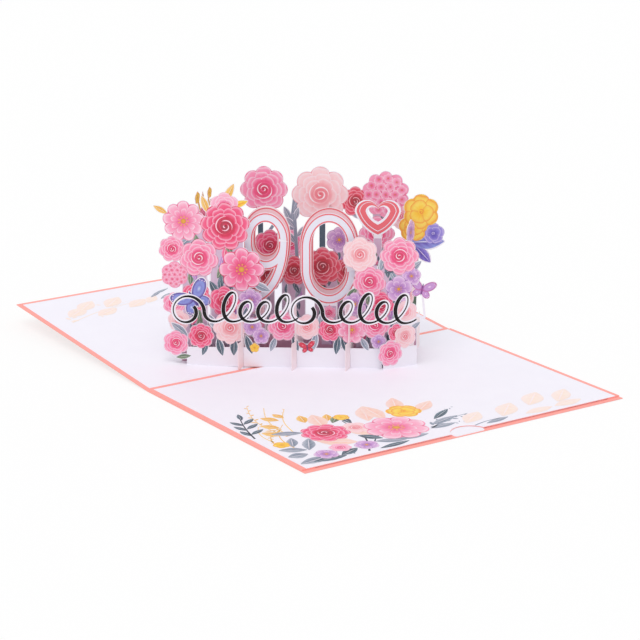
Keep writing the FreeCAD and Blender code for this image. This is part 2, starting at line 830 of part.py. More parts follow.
def right_bouquet_sheet() -> Sheet:
    """Returns the bouquet at the right."""
    return Sheet(
        name="right_bouquet",
        offset=BOUQUET_OFFSET,
        strip=Strip(left=31.0, right=66.0),
        items=[
            Stem(across=45.0, up=10.0, to_across=45.0, to_up=56.0, width=12.0),
            Stem(across=58.5, up=10.0, to_across=58.5, to_up=58.0, width=14.0),
            Bloom(across=41.2, up=62.3, reach=9.8, petals=6),
            Bloom(across=62.4, up=61.6, reach=10.6, petals=8),
            Bloom(across=46.4, up=47.2, reach=9.2, petals=7),
            Bloom(across=62.2, up=43.2, reach=7.6, petals=5),
            Bloom(across=69.0, up=50.5, reach=5.4, petals=5),
            Bloom(across=53.0, up=34.5, reach=7.4, petals=7),
            Bloom(across=66.0, up=30.5, reach=6.6, petals=6),
            Bloom(across=38.5, up=34.5, reach=6.8, petals=6),
            Leaf(across=52.0, up=53.0, length=11.0, width=4.8, turn=70.0),
            Leaf(across=54.0, up=52.0, length=12.0, width=4.6, turn=25.0),
            Leaf(across=66.0, up=52.0, length=11.0, width=4.4, turn=40.0),
            Leaf(across=52.0, up=40.0, length=11.0, width=4.6, turn=-20.0),
            Leaf(across=40.0, up=44.0, length=10.0, width=4.4, turn=-130.0),
            Leaf(across=63.0, up=27.0, length=9.0, width=4.0, turn=-125.0),
        ],
        feet=[Foot(across=50.0)],
    )


def mid_flowers_sheet() -> Sheet:
    """Returns the flowers that show through the numerals."""
    return Sheet(
        name="mid_flowers",
        offset=MID_FLOWERS_OFFSET,
        strip=Strip(left=-19.0, right=50.0),
        items=[
            Stem(across=-10.0, up=10.0, to_across=-10.0, to_up=60.0, width=8.0),
            Stem(across=6.0, up=10.0, to_across=6.0, to_up=46.0, width=10.0),
            Stem(across=22.0, up=10.0, to_across=22.0, to_up=48.0, width=12.0),
            Stem(across=30.0, up=10.0, to_across=30.0, to_up=62.0, width=8.0),
            Stem(across=7.0, up=44.0, to_across=5.0, to_up=79.0, width=2.0),
            Bloom(across=-8.4, up=61.0, reach=9.2, petals=7),
            Bloom(across=20.4, up=49.5, reach=11.0, petals=8),
            Bloom(across=4.8, up=47.0, reach=8.6, petals=7),
            Bloom(across=29.5, up=64.6, reach=7.4, petals=6),
            Bloom(across=-9.5, up=44.0, reach=8.8, petals=7),
            Bloom(across=34.0, up=47.0, reach=8.4, petals=7),
            Bloom(across=41.0, up=60.0, reach=7.4, petals=6),
            Leaf(across=6.0, up=62.0, length=9.0, width=3.4, turn=125.0),
            Leaf(across=6.2, up=66.0, length=9.0, width=3.4, turn=50.0),
            Leaf(across=5.6, up=71.0, length=8.0, width=3.2, turn=130.0),
            Leaf(across=5.2, up=75.0, length=8.0, width=3.2, turn=75.0),
            Leaf(across=-2.0, up=58.0, length=11.0, width=4.4, turn=100.0),
            Leaf(across=14.0, up=40.0, length=10.0, width=4.6, turn=100.0),
        ],
        feet=[Foot(across=1.5, on_back=True)],
    )


def iris_sheet() -> Sheet:
    """Returns the iris spray at the right."""
    return Sheet(
        name="iris_spray",
        offset=IRIS_OFFSET,
        strip=Strip(left=51.0, right=72.5),
        items=[
            Stem(across=69.6, up=10.0, to_across=72.0, to_up=74.0, width=3.6),
            Bloom(across=74.0, up=79.5, reach=10.2, petals=6),
            Bloom(across=69.8, up=70.6, reach=8.2, petals=5),
            Bloom(across=81.0, up=67.4, reach=6.2, petals=5),
            Leaf(across=67.0, up=62.4, length=20.5, width=9.6, turn=2.0),
            Leaf(across=71.0, up=60.5, length=13.0, width=6.6, turn=-48.0),
            Leaf(across=70.0, up=40.0, length=15.0, width=5.2, turn=112.0),
            Leaf(across=69.6, up=28.0, length=16.0, width=5.2, turn=104.0),
        ],
        feet=[Foot(across=60.0)],
    )


def back_wall_sheet() -> Sheet:
    """Returns the back wall, whose flowers stand highest."""
    return Sheet(
        name="back_wall",
        offset=BACK_WALL_OFFSET,
        strip=Strip(left=-46.0, right=72.5),
        items=[
            Stem(across=-30.0, up=10.0, to_across=-30.0, to_up=62.0, width=12.0),
            Stem(across=-14.0, up=10.0, to_across=-14.0, to_up=86.0, width=3.0),
            Stem(across=-14.0, up=60.0, to_across=-3.0, to_up=76.0, width=1.8),
            Stem(across=20.0, up=10.0, to_across=20.0, to_up=80.0, width=3.4),
            Stem(across=2.0, up=60.0, to_across=5.0, to_up=86.0, width=2.4),
            Stem(across=2.0, up=10.0, to_across=2.0, to_up=62.0, width=9.0),
            Stem(across=52.0, up=10.0, to_across=52.0, to_up=84.0, width=9.0),
            Bloom(across=-12.0, up=90.4, reach=13.2, petals=8),
            Bloom(across=18.8, up=87.8, reach=15.8, petals=8),
            Bloom(across=54.6, up=88.0, reach=13.2, petals=10),
            Bloom(across=38.0, up=84.0, reach=8.6, petals=7),
            Bloom(across=-30.0, up=66.0, reach=10.0, petals=7),
            Bloom(across=50.0, up=66.0, reach=10.0, petals=8),
            Bloom(across=63.0, up=76.0, reach=7.6, petals=6),
            Bloom(across=-28.0, up=44.0, reach=9.0, petals=7),
            Bloom(across=56.0, up=46.0, reach=10.0, petals=7),
            Bloom(across=3.0, up=60.0, reach=8.0, petals=7),
            Leaf(across=3.0, up=72.0, length=10.0, width=3.8, turn=115.0),
            Leaf(across=4.0, up=78.0, length=10.0, width=3.8, turn=60.0),
            Leaf(across=68.0, up=72.0, length=13.0, width=5.0, turn=-70.0),
            Leaf(across=44.0, up=74.0, length=12.0, width=5.0, turn=150.0),
            Leaf(across=-22.0, up=70.0, length=13.0, width=5.0, turn=50.0),
            Leaf(across=-36.0, up=70.0, length=11.0, width=4.6, turn=120.0),
        ],
        feet=[Foot(across=4.5, on_back=True), Foot(across=-24.0, on_back=True)],
    )


def plain_sheets() -> list:
    """Returns the sheets that are cut round flowers alone."""
    return [
        front_wall_sheet(),
        left_bouquet_sheet(),
        right_bouquet_sheet(),
        mid_flowers_sheet(),
        iris_sheet(),
        back_wall_sheet(),
    ]


def numeral_sheets() -> list:
    """Returns the two numeral sheets and the plaque's sheet, without their cut figures."""
    return [
        Sheet(
            name="numerals_front",
            offset=NUMERAL_FRONT_OFFSET,
            strip=Strip(left=-23.0, right=44.0),
            feet=[Foot(across=25.0)],
        ),
        Sheet(
            name="numerals_back",
            offset=NUMERAL_BACK_OFFSET,
            strip=Strip(left=-21.0, right=48.0),
            feet=[Foot(across=-1.0, on_back=True)],
        ),
        Sheet(
            name="heart_plaque",
            offset=PLAQUE_OFFSET,
            strip=Strip(left=36.5, right=68.0),
            feet=[Foot(across=53.0)],
        ),
    ]


def standing_sheet(sheet: Sheet, space: Part.Shape, shapes: list, holes: list) -> Part.Shape:
    """Returns a finished sheet: cut out, slotted, trimmed to the panels, with its feet.

    Args:
        sheet: the sheet's place, strip, flowers and feet.
        space: the space under the panels' printed faces.
        shapes: further flat shapes that belong to it.
        holes: flat shapes that are cut out of it.
    """
    plane = sheet_plane(sheet.offset)
    items = [OUTLINES[type(item)](item) for item in [sheet.strip] + sheet.items]
    outline = joined(items + shapes)
    for hole in holes:
        outline = outline.cut(hole)
    solid = plane.stand(outline).cut(rib_slots()).cut(space)
    tabs = [foot_tab(plane, foot) for foot in sheet.feet]
    return solid.multiFuse(tabs)


END_RIB_ITEMS = [
    Stem(across=32.0, up=10.0, to_across=32.0, to_up=66.0, width=3.0),
    Bloom(across=32.0, up=70.0, reach=7.2, petals=6),
    Bloom(across=31.0, up=52.0, reach=7.6, petals=7),
    Bloom(across=33.0, up=34.0, reach=6.8, petals=6),
    Leaf(across=32.0, up=60.0, length=9.0, width=3.4, turn=140.0),
    Leaf(across=32.0, up=40.0, length=9.0, width=3.4, turn=130.0),
]

FIRST_RIB_ITEMS = [
    Stem(across=29.0, up=10.0, to_across=29.0, to_up=84.0, width=3.0),
    Stem(across=29.0, up=70.0, to_across=38.0, to_up=90.0, width=1.8),
    Stem(across=29.0, up=74.0, to_across=21.0, to_up=91.0, width=1.8),
    Bloom(across=28.0, up=76.0, reach=9.0, petals=8),
    Bloom(across=30.0, up=57.0, reach=9.6, petals=7),
    Bloom(across=26.5, up=38.0, reach=8.4, petals=6),
    Bloom(across=38.0, up=90.0, reach=3.2, petals=5),
    Bloom(across=21.0, up=91.0, reach=3.4, petals=5),
    Leaf(across=29.0, up=80.0, length=13.0, width=4.0, turn=93.0),
    Leaf(across=35.0, up=83.0, length=8.0, width=3.0, turn=20.0),
    Leaf(across=30.0, up=46.0, length=11.0, width=4.4, turn=30.0),
]


def rib(station: float, items: list, slots: Part.Shape, space: Part.Shape) -> Part.Shape:
    """Returns a rib: a low strip with a toe in front and an arm that holds the flourish.

    Args:
        station: place of its tip line along the sheets.
        items: flowers that it is cut round, behind the bouquets.
        slots: the slots that the sheets need.
        space: the space under the panels' printed faces.
    """
    start = rib_start(station)
    neck_back = rib_reach(FRONT_WALL_OFFSET) - SLOT_CLEARANCE * RIB_STEP
    neck_front = neck_back - RIB_NECK_WIDTH
    shapes = [OUTLINES[type(item)](item) for item in items]
    if start < neck_front:
        arm_front = rib_reach(FLOURISH_OFFSET + SHEET)
        shapes.append(rectangle(neck_back, rib_end(), -SURFACE, RIB_HEIGHT))
        shapes.append(rectangle(start, neck_back, -SURFACE, RIB_TOE_HEIGHT))
        shapes.append(rectangle(neck_front, neck_back, 0.0, ARM_TOP))
        shapes.append(rectangle(arm_front, neck_back, ARM_BOTTOM, ARM_TOP))
    else:
        shapes.append(rectangle(start, rib_end(), -SURFACE, RIB_HEIGHT))
    solid = rib_plane(station).stand(joined(shapes))
    return solid.cut(slots).cut(space)


def end_sheet(space: Part.Shape) -> Part.Shape:
    """Returns the small sheet that closes the right end, with its corner flowers."""
    items = [
        Bloom(across=4.6, up=8.6, reach=7.6, petals=7),
        Bloom(across=13.6, up=17.2, reach=7.0, petals=6),
        Bloom(across=8.0, up=20.0, reach=5.0, petals=5),
        Leaf(across=16.0, up=20.0, length=8.0, width=3.2, turn=30.0),
        Strip(left=0.5, right=END_SHEET_LENGTH, height=END_SHEET_HEIGHT),
    ]
    plane = end_sheet_plane()
    slot = rib_plane(END_RIB_STATION).slab(OUTER_RIB_SETBACK, rib_end(), -SURFACE, LAP_HEIGHT)
    return plane.stand(drawing(items)).cut(slot).cut(space)


def glued_butterflies() -> dict:
    """Returns the butterflies that are glued to a sheet's face, by node name."""
    on_wall = sheet_plane(FRONT_WALL_OFFSET)
    on_bouquet = sheet_plane(BOUQUET_OFFSET)
    small = [Butterfly(across=13.0, up=11.4, span=9.6, turn=8.0)]
    purple = [Butterfly(across=-48.6, up=36.6, span=23.0, turn=32.0)]
    lilac = [
        Stem(across=74.8, up=43.0, to_across=76.4, to_up=27.0, width=1.2),
        Stem(across=76.6, up=26.8, to_across=66.0, to_up=31.0, width=1.6),
        Butterfly(across=74.8, up=43.0, span=15.0, turn=-12.0),
    ]
    return {
        "small_butterfly": on_wall.stand(drawing(small), SHEET),
        "purple_butterfly": on_bouquet.stand(drawing(purple), SHEET),
        "lilac_butterfly": on_bouquet.stand(drawing(lilac), -SHEET),
    }


def build() -> dict:
    """Returns every piece of the card by node name."""
    space = panel_space()
    plain = plain_sheets()
    numerals = numeral_sheets()
    slots = sheet_slots(plain + numerals)
    pieces = {
        "cover_card": cover_card(),
        "back_liner": back_liner(),
        "pocket_panel": pocket_panel(),
        "front_liner": front_liner(),
        "note_card": note_card(),
        "flourish": flourish(),
        "right_end_sheet": end_sheet(space),
    }
    for sheet in plain:
        pieces[sheet.name] = standing_sheet(sheet, space, [], [])
    front, back, plaque = numerals
    pieces[front.name] = standing_sheet(front, space, numeral_shapes(0.0), numeral_holes(0.0))
    pieces[back.name] = standing_sheet(
        back, space, numeral_shapes(NUMERAL_OUTSET), numeral_holes(NUMERAL_OUTSET)
    )
    pieces[plaque.name] = standing_sheet(plaque, space, plaque_shapes(), plaque_hole())
    stations = rib_stations()
    for number, station in enumerate(stations, start=1):
        items = {1: FIRST_RIB_ITEMS, len(stations): END_RIB_ITEMS}.get(number, [])
        pieces[f"rib_{number}"] = rib(station, items, slots, space)
    pieces.update(glued_butterflies())
    return pieces


def main() -> None:
    """Writes one STEP file for each piece."""
    os.makedirs("parts", exist_ok=True)
    for name, shape in build().items():
        shape.translate(Vector(0.0, FOLD_SHIFT, 0.0))
        solids = shape.Solids
        if len(solids) != 1 or not solids[0].isValid():
            raise ValueError(f"{name} has {len(solids)} solids or isn't valid")
        solids[0].exportStep(f"parts/{name}.step")


main()
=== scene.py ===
"""Looks of an open pop-up greeting card.

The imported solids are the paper. This script gives each paper its finish, and lays the print on it as thin
fields of ink: petals, leaves, wings, figure outlines and pen strokes. Lengths are in millimetres until a
point is placed, and heights on the standing sheets are measured from the front panel's printed face.
"""

import json
import logging
import math
import random
from dataclasses import dataclass, field
from enum import Enum
from typing import Any, Callable, Optional, Sequence, Union

import bpy
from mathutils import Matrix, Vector

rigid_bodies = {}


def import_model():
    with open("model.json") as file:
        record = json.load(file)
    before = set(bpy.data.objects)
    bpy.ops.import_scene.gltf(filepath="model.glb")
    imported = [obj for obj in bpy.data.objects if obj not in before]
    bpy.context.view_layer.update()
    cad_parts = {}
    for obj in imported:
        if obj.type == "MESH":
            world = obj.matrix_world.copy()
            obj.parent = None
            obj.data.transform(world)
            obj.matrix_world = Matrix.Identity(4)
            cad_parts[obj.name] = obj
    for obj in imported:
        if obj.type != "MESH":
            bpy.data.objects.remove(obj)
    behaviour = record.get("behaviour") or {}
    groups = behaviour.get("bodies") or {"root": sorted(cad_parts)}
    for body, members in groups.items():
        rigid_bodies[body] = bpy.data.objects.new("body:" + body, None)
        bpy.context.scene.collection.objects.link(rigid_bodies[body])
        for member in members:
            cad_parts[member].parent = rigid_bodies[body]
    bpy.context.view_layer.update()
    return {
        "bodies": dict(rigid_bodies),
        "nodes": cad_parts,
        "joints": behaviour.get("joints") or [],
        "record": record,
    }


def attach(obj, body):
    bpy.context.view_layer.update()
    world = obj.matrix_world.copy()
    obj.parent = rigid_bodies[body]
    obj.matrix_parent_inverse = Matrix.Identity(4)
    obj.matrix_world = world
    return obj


LOG = logging.getLogger("card")

MM = 0.001
ROOT = "root"
INK = "ink"
UV = "UVMap"

# The lattice and the panels, as in the part's source
PANEL_DEPTH = 150.0
COVER_THICKNESS = 0.4
LINER_THICKNESS = 0.2
POCKET_RISE = 0.7
SHEET = 0.3
BACK_LIFT = math.radians(4.3)
LATTICE_ANGLE = math.radians(36.0)
LATTICE_X = -19.5
LATTICE_Y = -8.6
RIB_TIP = 7.0
FIRST_RIB_STATION = -53.0
END_RIB_STATION = 58.6
END_SHEET_X = 22.4
END_SHEET_Y = -42.6
END_SHEET_ANGLE = math.radians(8.0)
SURFACE = COVER_THICKNESS + POCKET_RISE + LINER_THICKNESS
BACK_SURFACE = COVER_THICKNESS + LINER_THICKNESS
FOLD_SHIFT = PANEL_DEPTH * (1.0 - math.cos(BACK_LIFT)) / 2.0

# How far each standing sheet lies behind the front wall
FRONT_WALL_OFFSET = 0.0
BOUQUET_OFFSET = 5.0
NUMERAL_FRONT_OFFSET = 10.0
PLAQUE_OFFSET = 14.0
NUMERAL_BACK_OFFSET = 18.5
MID_FLOWERS_OFFSET = 27.0
IRIS_OFFSET = 31.5
BACK_WALL_OFFSET = 36.0
FLOURISH_OFFSET = -8.0

# How far the back figures are cut larger than the front ones
NUMERAL_OUTSET = 1.0

# Ink lies this far in front of the paper, and each later field a little further
INK_LIFT = 0.02
INK_STEP = 0.0012

# Cut outlines: how far a flower's valleys lie in, and the bare margin inside the cut
VALLEY = 0.86
CUT_MARGIN = 0.2

# Petals: the wave along their edges, and their steps outward and over
RUFFLED_WAVE = 0.05
SMOOTH_WAVE = 0.022
PETAL_ROWS = 6
PETAL_COLUMNS = 10
RIM_TIP = 0.9

# Levels that the fine sprigs take under the panels' prints
SPRIG_LEVELS = 6

# Leafy stems
NARROW_STEM = 4.0
LEAF_SPACING = 2.6
LONGEST_LEAF = 9.0

# Leaflets of the fine sprigs: how far they turn off the stalk, how much smaller the last one is,
# and the range of their sizes
LEAFLET_SPREAD = 0.9
LEAFLET_TAPER = 0.45
SMALLEST_LEAFLET = 0.8
LARGEST_LEAFLET = 1.2

# Steps round the figures' ovals and the heart, along a tail, and for each turn of the pen
EDGE_STEPS = 96
TAIL_STEPS = 40
PEN_STEPS = 64
PEN_NUDGE = 0.002

# How fine the papers' and inks' patterns are: features for each metre, along each axis
MOTTLE = 90.0
PIGMENT = 420.0
LONG_FIBRES = (700.0, 2600.0, 1500.0)
CROSS_FIBRES = (2800.0, 600.0, 1200.0)
PRINT_FIBRES = (1900.0, 2300.0, 2100.0)

# Brush streaks over and along a field, and the relief under the ink
BRUSH_STREAKS = (9.0, 1.3, 1.0)
PRINT_RELIEF = 0.12

Number = Union[float, "Value"]


@dataclass(frozen=True)
class Ink:
    """A printed colour, its channels from 0 to 255 as a screen shows them."""

    red: float
    green: float
    blue: float

    def linear(self) -> tuple[float, float, float, float]:
        """Returns the colour as light, with full opacity."""

        def channel(value: float) -> float:
            share = value / 255.0
            return share / 12.92 if share <= 0.04045 else ((share + 0.055) / 1.055) ** 2.4

        return (channel(self.red), channel(self.green), channel(self.blue), 1.0)

    def toward(self, other: "Ink", share: float) -> "Ink":
        """Returns the mix of this ink and another.

        Args:
            other: the ink at a share of 1.
            share: from 0 to 1; what lies outside is held to that range.

        Returns:
            The mixed ink.
        """
        part = min(1.0, max(0.0, share))
        return Ink(
            self.red + (other.red - self.red) * part,
            self.green + (other.green - self.green) * part,
            self.blue + (other.blue - self.blue) * part,
        )


@dataclass(frozen=True)
class Palette:
    """The inks of a petal or leaf, from its root to its rim."""

    deep: Ink
    mid: Ink
    light: Ink
    rim: Ink

    def tint(self, place: float) -> Ink:
        """Returns the ink at a place from 0, the root, to 1, the rim."""
        if place < 0.4:
            return self.deep.toward(self.mid, place / 0.4)
        if place < 0.85:
            return self.mid.toward(self.light, (place - 0.4) / 0.45)
        return self.light.toward(self.rim, (place - 0.85) / 0.15)


CRIMSON = Palette(Ink(152, 4, 44), Ink(222, 22, 82), Ink(246, 76, 128), Ink(255, 214, 228))
ROSE = Palette(Ink(206, 20, 76), Ink(244, 82, 138), Ink(254, 150, 188), Ink(255, 240, 246))
PINK = Palette(Ink(222, 56, 116), Ink(250, 134, 176), Ink(255, 188, 212), Ink(255, 242, 247))
PALE = Palette(Ink(234, 96, 112), Ink(250, 188, 190), Ink(255, 224, 222), Ink(255, 248, 247))
PEACH = Palette(Ink(251, 212, 184), Ink(252, 225, 204), Ink(253, 236, 221), Ink(254, 245, 236))
LILAC = Palette(Ink(128, 70, 160), Ink(186, 136, 208), Ink(218, 184, 232), Ink(248, 238, 252))
RED = Palette(Ink(132, 4, 30), Ink(204, 16, 52), Ink(236, 62, 92), Ink(255, 206, 212))
YELLOW = Palette(Ink(236, 146, 8), Ink(255, 212, 30), Ink(255, 236, 92), Ink(248, 150, 20))
VIOLET = Palette(Ink(58, 42, 148), Ink(98, 86, 196), Ink(146, 140, 226), Ink(216, 216, 248))
BLUE = Palette(Ink(84, 70, 172), Ink(124, 124, 212), Ink(146, 186, 244), Ink(222, 236, 254))

TEAL = Palette(Ink(26, 46, 60), Ink(52, 84, 100), Ink(100, 136, 148), Ink(196, 216, 220))
GREY = Palette(Ink(90, 112, 132), Ink(134, 156, 172), Ink(180, 198, 208), Ink(228, 236, 240))
GREEN = Palette(Ink(44, 78, 62), Ink(88, 124, 96), Ink(142, 170, 130), Ink(212, 226, 198))
GOLD = Palette(Ink(214, 152, 40), Ink(244, 196, 78), Ink(252, 222, 130), Ink(254, 242, 204))
BEIGE = Palette(Ink(253, 245, 222), Ink(254, 247, 229), Ink(254, 249, 237), Ink(255, 252, 246))

CORAL_LINE = Ink(236, 110, 120)
BAND_WHITE = Ink(238, 237, 249)
BAND_BLUSH = Ink(250, 210, 216)
PEN_BLACK = Ink(6, 6, 8)
# Painted shade at the standing sheets' feet: this ink at the foot, fading to a paler one above
SHADE = Ink(190, 142, 166)
GROUND = Ink(214, 196, 216)
MARGIN_VIOLET = Ink(72, 50, 140)
MARGIN_LILAC = Ink(198, 84, 150)
MARGIN_RED = Ink(150, 20, 52)
SPOT = Ink(250, 240, 252)
# The paler top of the painted shade at the sheets' feet
SHADE_TOP = Ink(206, 162, 186)
POLLEN = Ink(244, 190, 52)
WHITE = Ink(255, 250, 252)


class Form(Enum):
    """How a flower's petals lie."""

    FULL = "full"
    OPEN = "open"
    CLUSTER = "cluster"
    RUFFLED = "ruffled"


@dataclass(frozen=True)
class Flower:
    """A printed flower.

    Attributes:
        across: its middle's place along the sheet.
        up: its middle's height.
        reach: to the cut petal tips.
        petals: number of petals on the rim.
        palette: its inks.
        form: how its petals lie.
    """

    across: float
    up: float
    reach: float
    petals: int
    palette: Palette
    form: Form = Form.FULL


@dataclass(frozen=True)
class Frond:
    """A printed leaf, which points `turn` degrees from the sheet's direction."""

    across: float
    up: float
    length: float
    width: float
    turn: float
    palette: Palette = TEAL


@dataclass(frozen=True)
class Foliage:
    """A stem printed over with small leaves."""

    across: float
    up: float
    to_across: float
    to_up: float
    width: float
    palette: Palette = TEAL


@dataclass(frozen=True)
class Shadow:
    """Painted shade along a sheet's foot: a darker field of ink that stands in for the shade between the
    standing sheets.
    """

    left: float
    right: float
    bottom: float = 1.0
    top: float = 15.6


@dataclass(frozen=True)
class Stalk:
    """A fine printed line that bows `bow` to the left between two places."""

    across: float
    up: float
    to_across: float
    to_up: float
    bow: float
    ink: Ink
    width: float = 0.7


@dataclass(frozen=True)
class Wings:
    """A printed butterfly."""

    across: float
    up: float
    span: float
    turn: float
    palette: Palette
    margin: Ink


@dataclass(frozen=True)
class Plane:
    """The face of a paper: where it starts, and its directions along, up and out."""

    start: Vector
    along: Vector
    up: Vector
    front: Vector

    def place(self, across: float, up: float, lift: float) -> Vector:
        """Returns a point of the face in metres, `lift` in front of it."""
        return (self.start + self.along * across + self.up * up + self.front * lift) * MM


def sheet_plane(offset: float, angle: float = -LATTICE_ANGLE) -> Plane:
    """Returns the face of the standing sheet that lies `offset` behind the front wall."""
    start = Vector(
        (
            LATTICE_X + offset * math.sin(LATTICE_ANGLE),
            LATTICE_Y + FOLD_SHIFT + offset * math.cos(LATTICE_ANGLE),
            SURFACE,
        )
    )
    return upright(start, angle)


def upright(start: Vector, angle: float) -> Plane:
    """Returns the upright face through a point in a direction in plan."""
    along = Vector((math.cos(angle), math.sin(angle), 0.0))
    front = Vector((math.sin(angle), -math.cos(angle), 0.0))
    return Plane(start, along, Vector((0.0, 0.0, 1.0)), front)


def rib_plane(station: float) -> Plane:
    """Returns the face of the rib whose tip line stands at `station` along the sheets."""
    tip = sheet_plane(-RIB_TIP)
    return upright(tip.start + tip.along * station, LATTICE_ANGLE)


def front_panel_plane() -> Plane:
    """Returns the printed face of the front panel."""
    start = Vector((0.0, FOLD_SHIFT, SURFACE))
    return Plane(start, Vector((1.0, 0.0, 0.0)), Vector((0.0, 1.0, 0.0)), Vector((0.0, 0.0, 1.0)))


def back_panel_plane() -> Plane:
    """Returns the printed face of the raised back panel."""
    up = Vector((0.0, math.cos(BACK_LIFT), math.sin(BACK_LIFT)))
    front = Vector((0.0, -math.sin(BACK_LIFT), math.cos(BACK_LIFT)))
    start = Vector((0.0, FOLD_SHIFT, 0.0)) + front * BACK_SURFACE
    return Plane(start, Vector((1.0, 0.0, 0.0)), up, front)


class Value:
    """A number on a shader socket, which Python's own operators work on."""

    def __init__(self, nodes: "Nodes", socket: bpy.types.NodeSocket) -> None:
        self.nodes = nodes
        self.socket = socket

    def __add__(self, other: Number) -> "Value":
        """Returns the sum."""
        return self.nodes.math("ADD", self, other)

    __radd__ = __add__

    def __mul__(self, other: Number) -> "Value":
        """Returns the product."""
        return self.nodes.math("MULTIPLY", self, other)

    __rmul__ = __mul__

    def __sub__(self, other: Number) -> "Value":
        """Returns the difference."""
        return self.nodes.math("SUBTRACT", self, other)

    def __rsub__(self, other: Number) -> "Value":
        """Returns a number less this value."""
        return self.nodes.math("SUBTRACT", other, self)

    def __truediv__(self, other: Number) -> "Value":
        """Returns the quotient."""
        return self.nodes.math("DIVIDE", self, other)

    def __mod__(self, other: Number) -> "Value":
        """Returns the remainder."""
        return self.nodes.math("MODULO", self, other)


class Nodes:
    """A tree of nodes, of a material, a world or a Geometry Nodes group."""

    def __init__(self, tree: bpy.types.NodeTree) -> None:
        self.tree = tree
        self.tree.nodes.clear()

    def node(
        self,
        kind: str,
        settings: Optional[dict[str, Any]] = None,
        inputs: Optional[dict[Union[str, int], Any]] = None,
    ) -> bpy.types.Node:
        """Makes a node.

        Args:
            kind: the node's type.
            settings: its own settings, which are set first.
            inputs: a value or a link for each named or numbered socket.

        Returns:
            The node.
        """
        made = self.tree.nodes.new(kind)
        for name, value in (settings or {}).items():
            setattr(made, name, value)
        for key, value in (inputs or {}).items():
            socket = made.inputs[key]
            if isinstance(value, Value):
                self.tree.links.new(value.socket, socket)
            elif isinstance(value, bpy.types.NodeSocket):
                self.tree.links.new(value, socket)
            else:
                socket.default_value = value
        return made

    def math(self, operation: str, first: Number, second: Number) -> Value:
        """Returns the result of a sum on two numbers."""
        made = self.node("ShaderNodeMath", {"operation": operation}, {0: first, 1: second})
        return Value(self, made.outputs[0])


class Shader(Nodes):
    """The node tree of a new material, or of a world."""

    def __init__(self, name: str, world: Optional[bpy.types.World] = None) -> None:
        self.material = world or bpy.data.materials.new(name)
        self.material.use_nodes = True
        super().__init__(self.material.node_tree)

    def noise(self, vector: bpy.types.NodeSocket, scale: float, detail: float) -> Value:
        """Returns a noise from 0 to 1, `scale` features for each unit of the vector."""
        made = self.node(
            "ShaderNodeTexNoise", None, {"Vector": vector, "Scale": scale, "Detail": detail}
        )
        return Value(self, made.outputs["Fac"])

    def stretched(self, vector: bpy.types.NodeSocket, scale: tuple[float, float, float]) -> Any:
        """Returns a vector stretched along its axes."""
        made = self.node("ShaderNodeMapping", None, {"Vector": vector, "Scale": scale})
        return made.outputs["Vector"]

    def blended(self, factor: Number, first: Any, second: Any, mode: str = "MIX") -> Any:
        """Returns the colour between two colours.

        Args:
            factor: 0 for the first colour, 1 for the second.
            first: a colour or a link.
            second: a colour or a link.
            mode: how the second is laid on the first.

        Returns:
            The mixed colour's socket.
        """
        settings = {"data_type": "RGBA", "blend_type": mode}
        made = self.node("ShaderNodeMix", settings, {0: factor, 6: first, 7: second})
        return made.outputs[2]

    def seen(self) -> Value:
        """Returns 1 for the rays that show a background: the camera's, and those of gloss and glass."""
        rays = self.node("ShaderNodeLightPath").outputs
        seen = Value(self, rays["Is Camera Ray"])
        for name in ("Is Glossy Ray", "Is Transmission Ray"):
            seen = self.math("MAXIMUM", seen, Value(self, rays[name]))
        return seen

    def finish(self, color: Any, roughness: Number, height: Value, strength: float) -> None:
        """Ends the material in its surface.

        Args:
            color: the base colour.
            roughness: the surface's roughness.
            height: the relief, from 0 to 1.
            strength: how much of the relief shows.
        """
        bump = self.node(
            "ShaderNodeBump", None, {"Strength": strength, "Distance": MM * 0.1, "Height": height}
        )
        surface = self.node(
            "ShaderNodeBsdfPrincipled",
            None,
            {
                "Base Color": color,
                "Roughness": roughness,
                "Specular IOR Level": 0.25,
                "Normal": bump.outputs["Normal"],
            },
        )
        self.node("ShaderNodeOutputMaterial", None, {"Surface": surface.outputs["BSDF"]})


@dataclass(frozen=True)
class Stock:
    """A paper or card: its colour, the colour of its fibres, and how rough it is."""

    name: str
    ink: Ink
    fibre: Ink
    roughness: float
    grain: float

    def material(self) -> bpy.types.Material:
        """Returns the material: mottled pulp, fine fibres and a slight relief."""
        shader = Shader(self.name)
        place = shader.node("ShaderNodeTexCoord").outputs["Object"]
        mottle = shader.noise(place, MOTTLE, 3.0)
        fibres = shader.noise(shader.stretched(place, LONG_FIBRES), 1.0, 4.0)
        strands = shader.noise(shader.stretched(place, CROSS_FIBRES), 1.0, 3.0)
        share = (mottle * 0.5 + fibres * 0.3 + strands * 0.2) * 0.9
        color = shader.blended(share, self.ink.linear(), self.fibre.linear())
        roughness = self.roughness + (fibres - 0.5) * 0.14
        shader.finish(color, roughness, fibres * 0.6 + strands * 0.4, self.grain)
        return shader.material


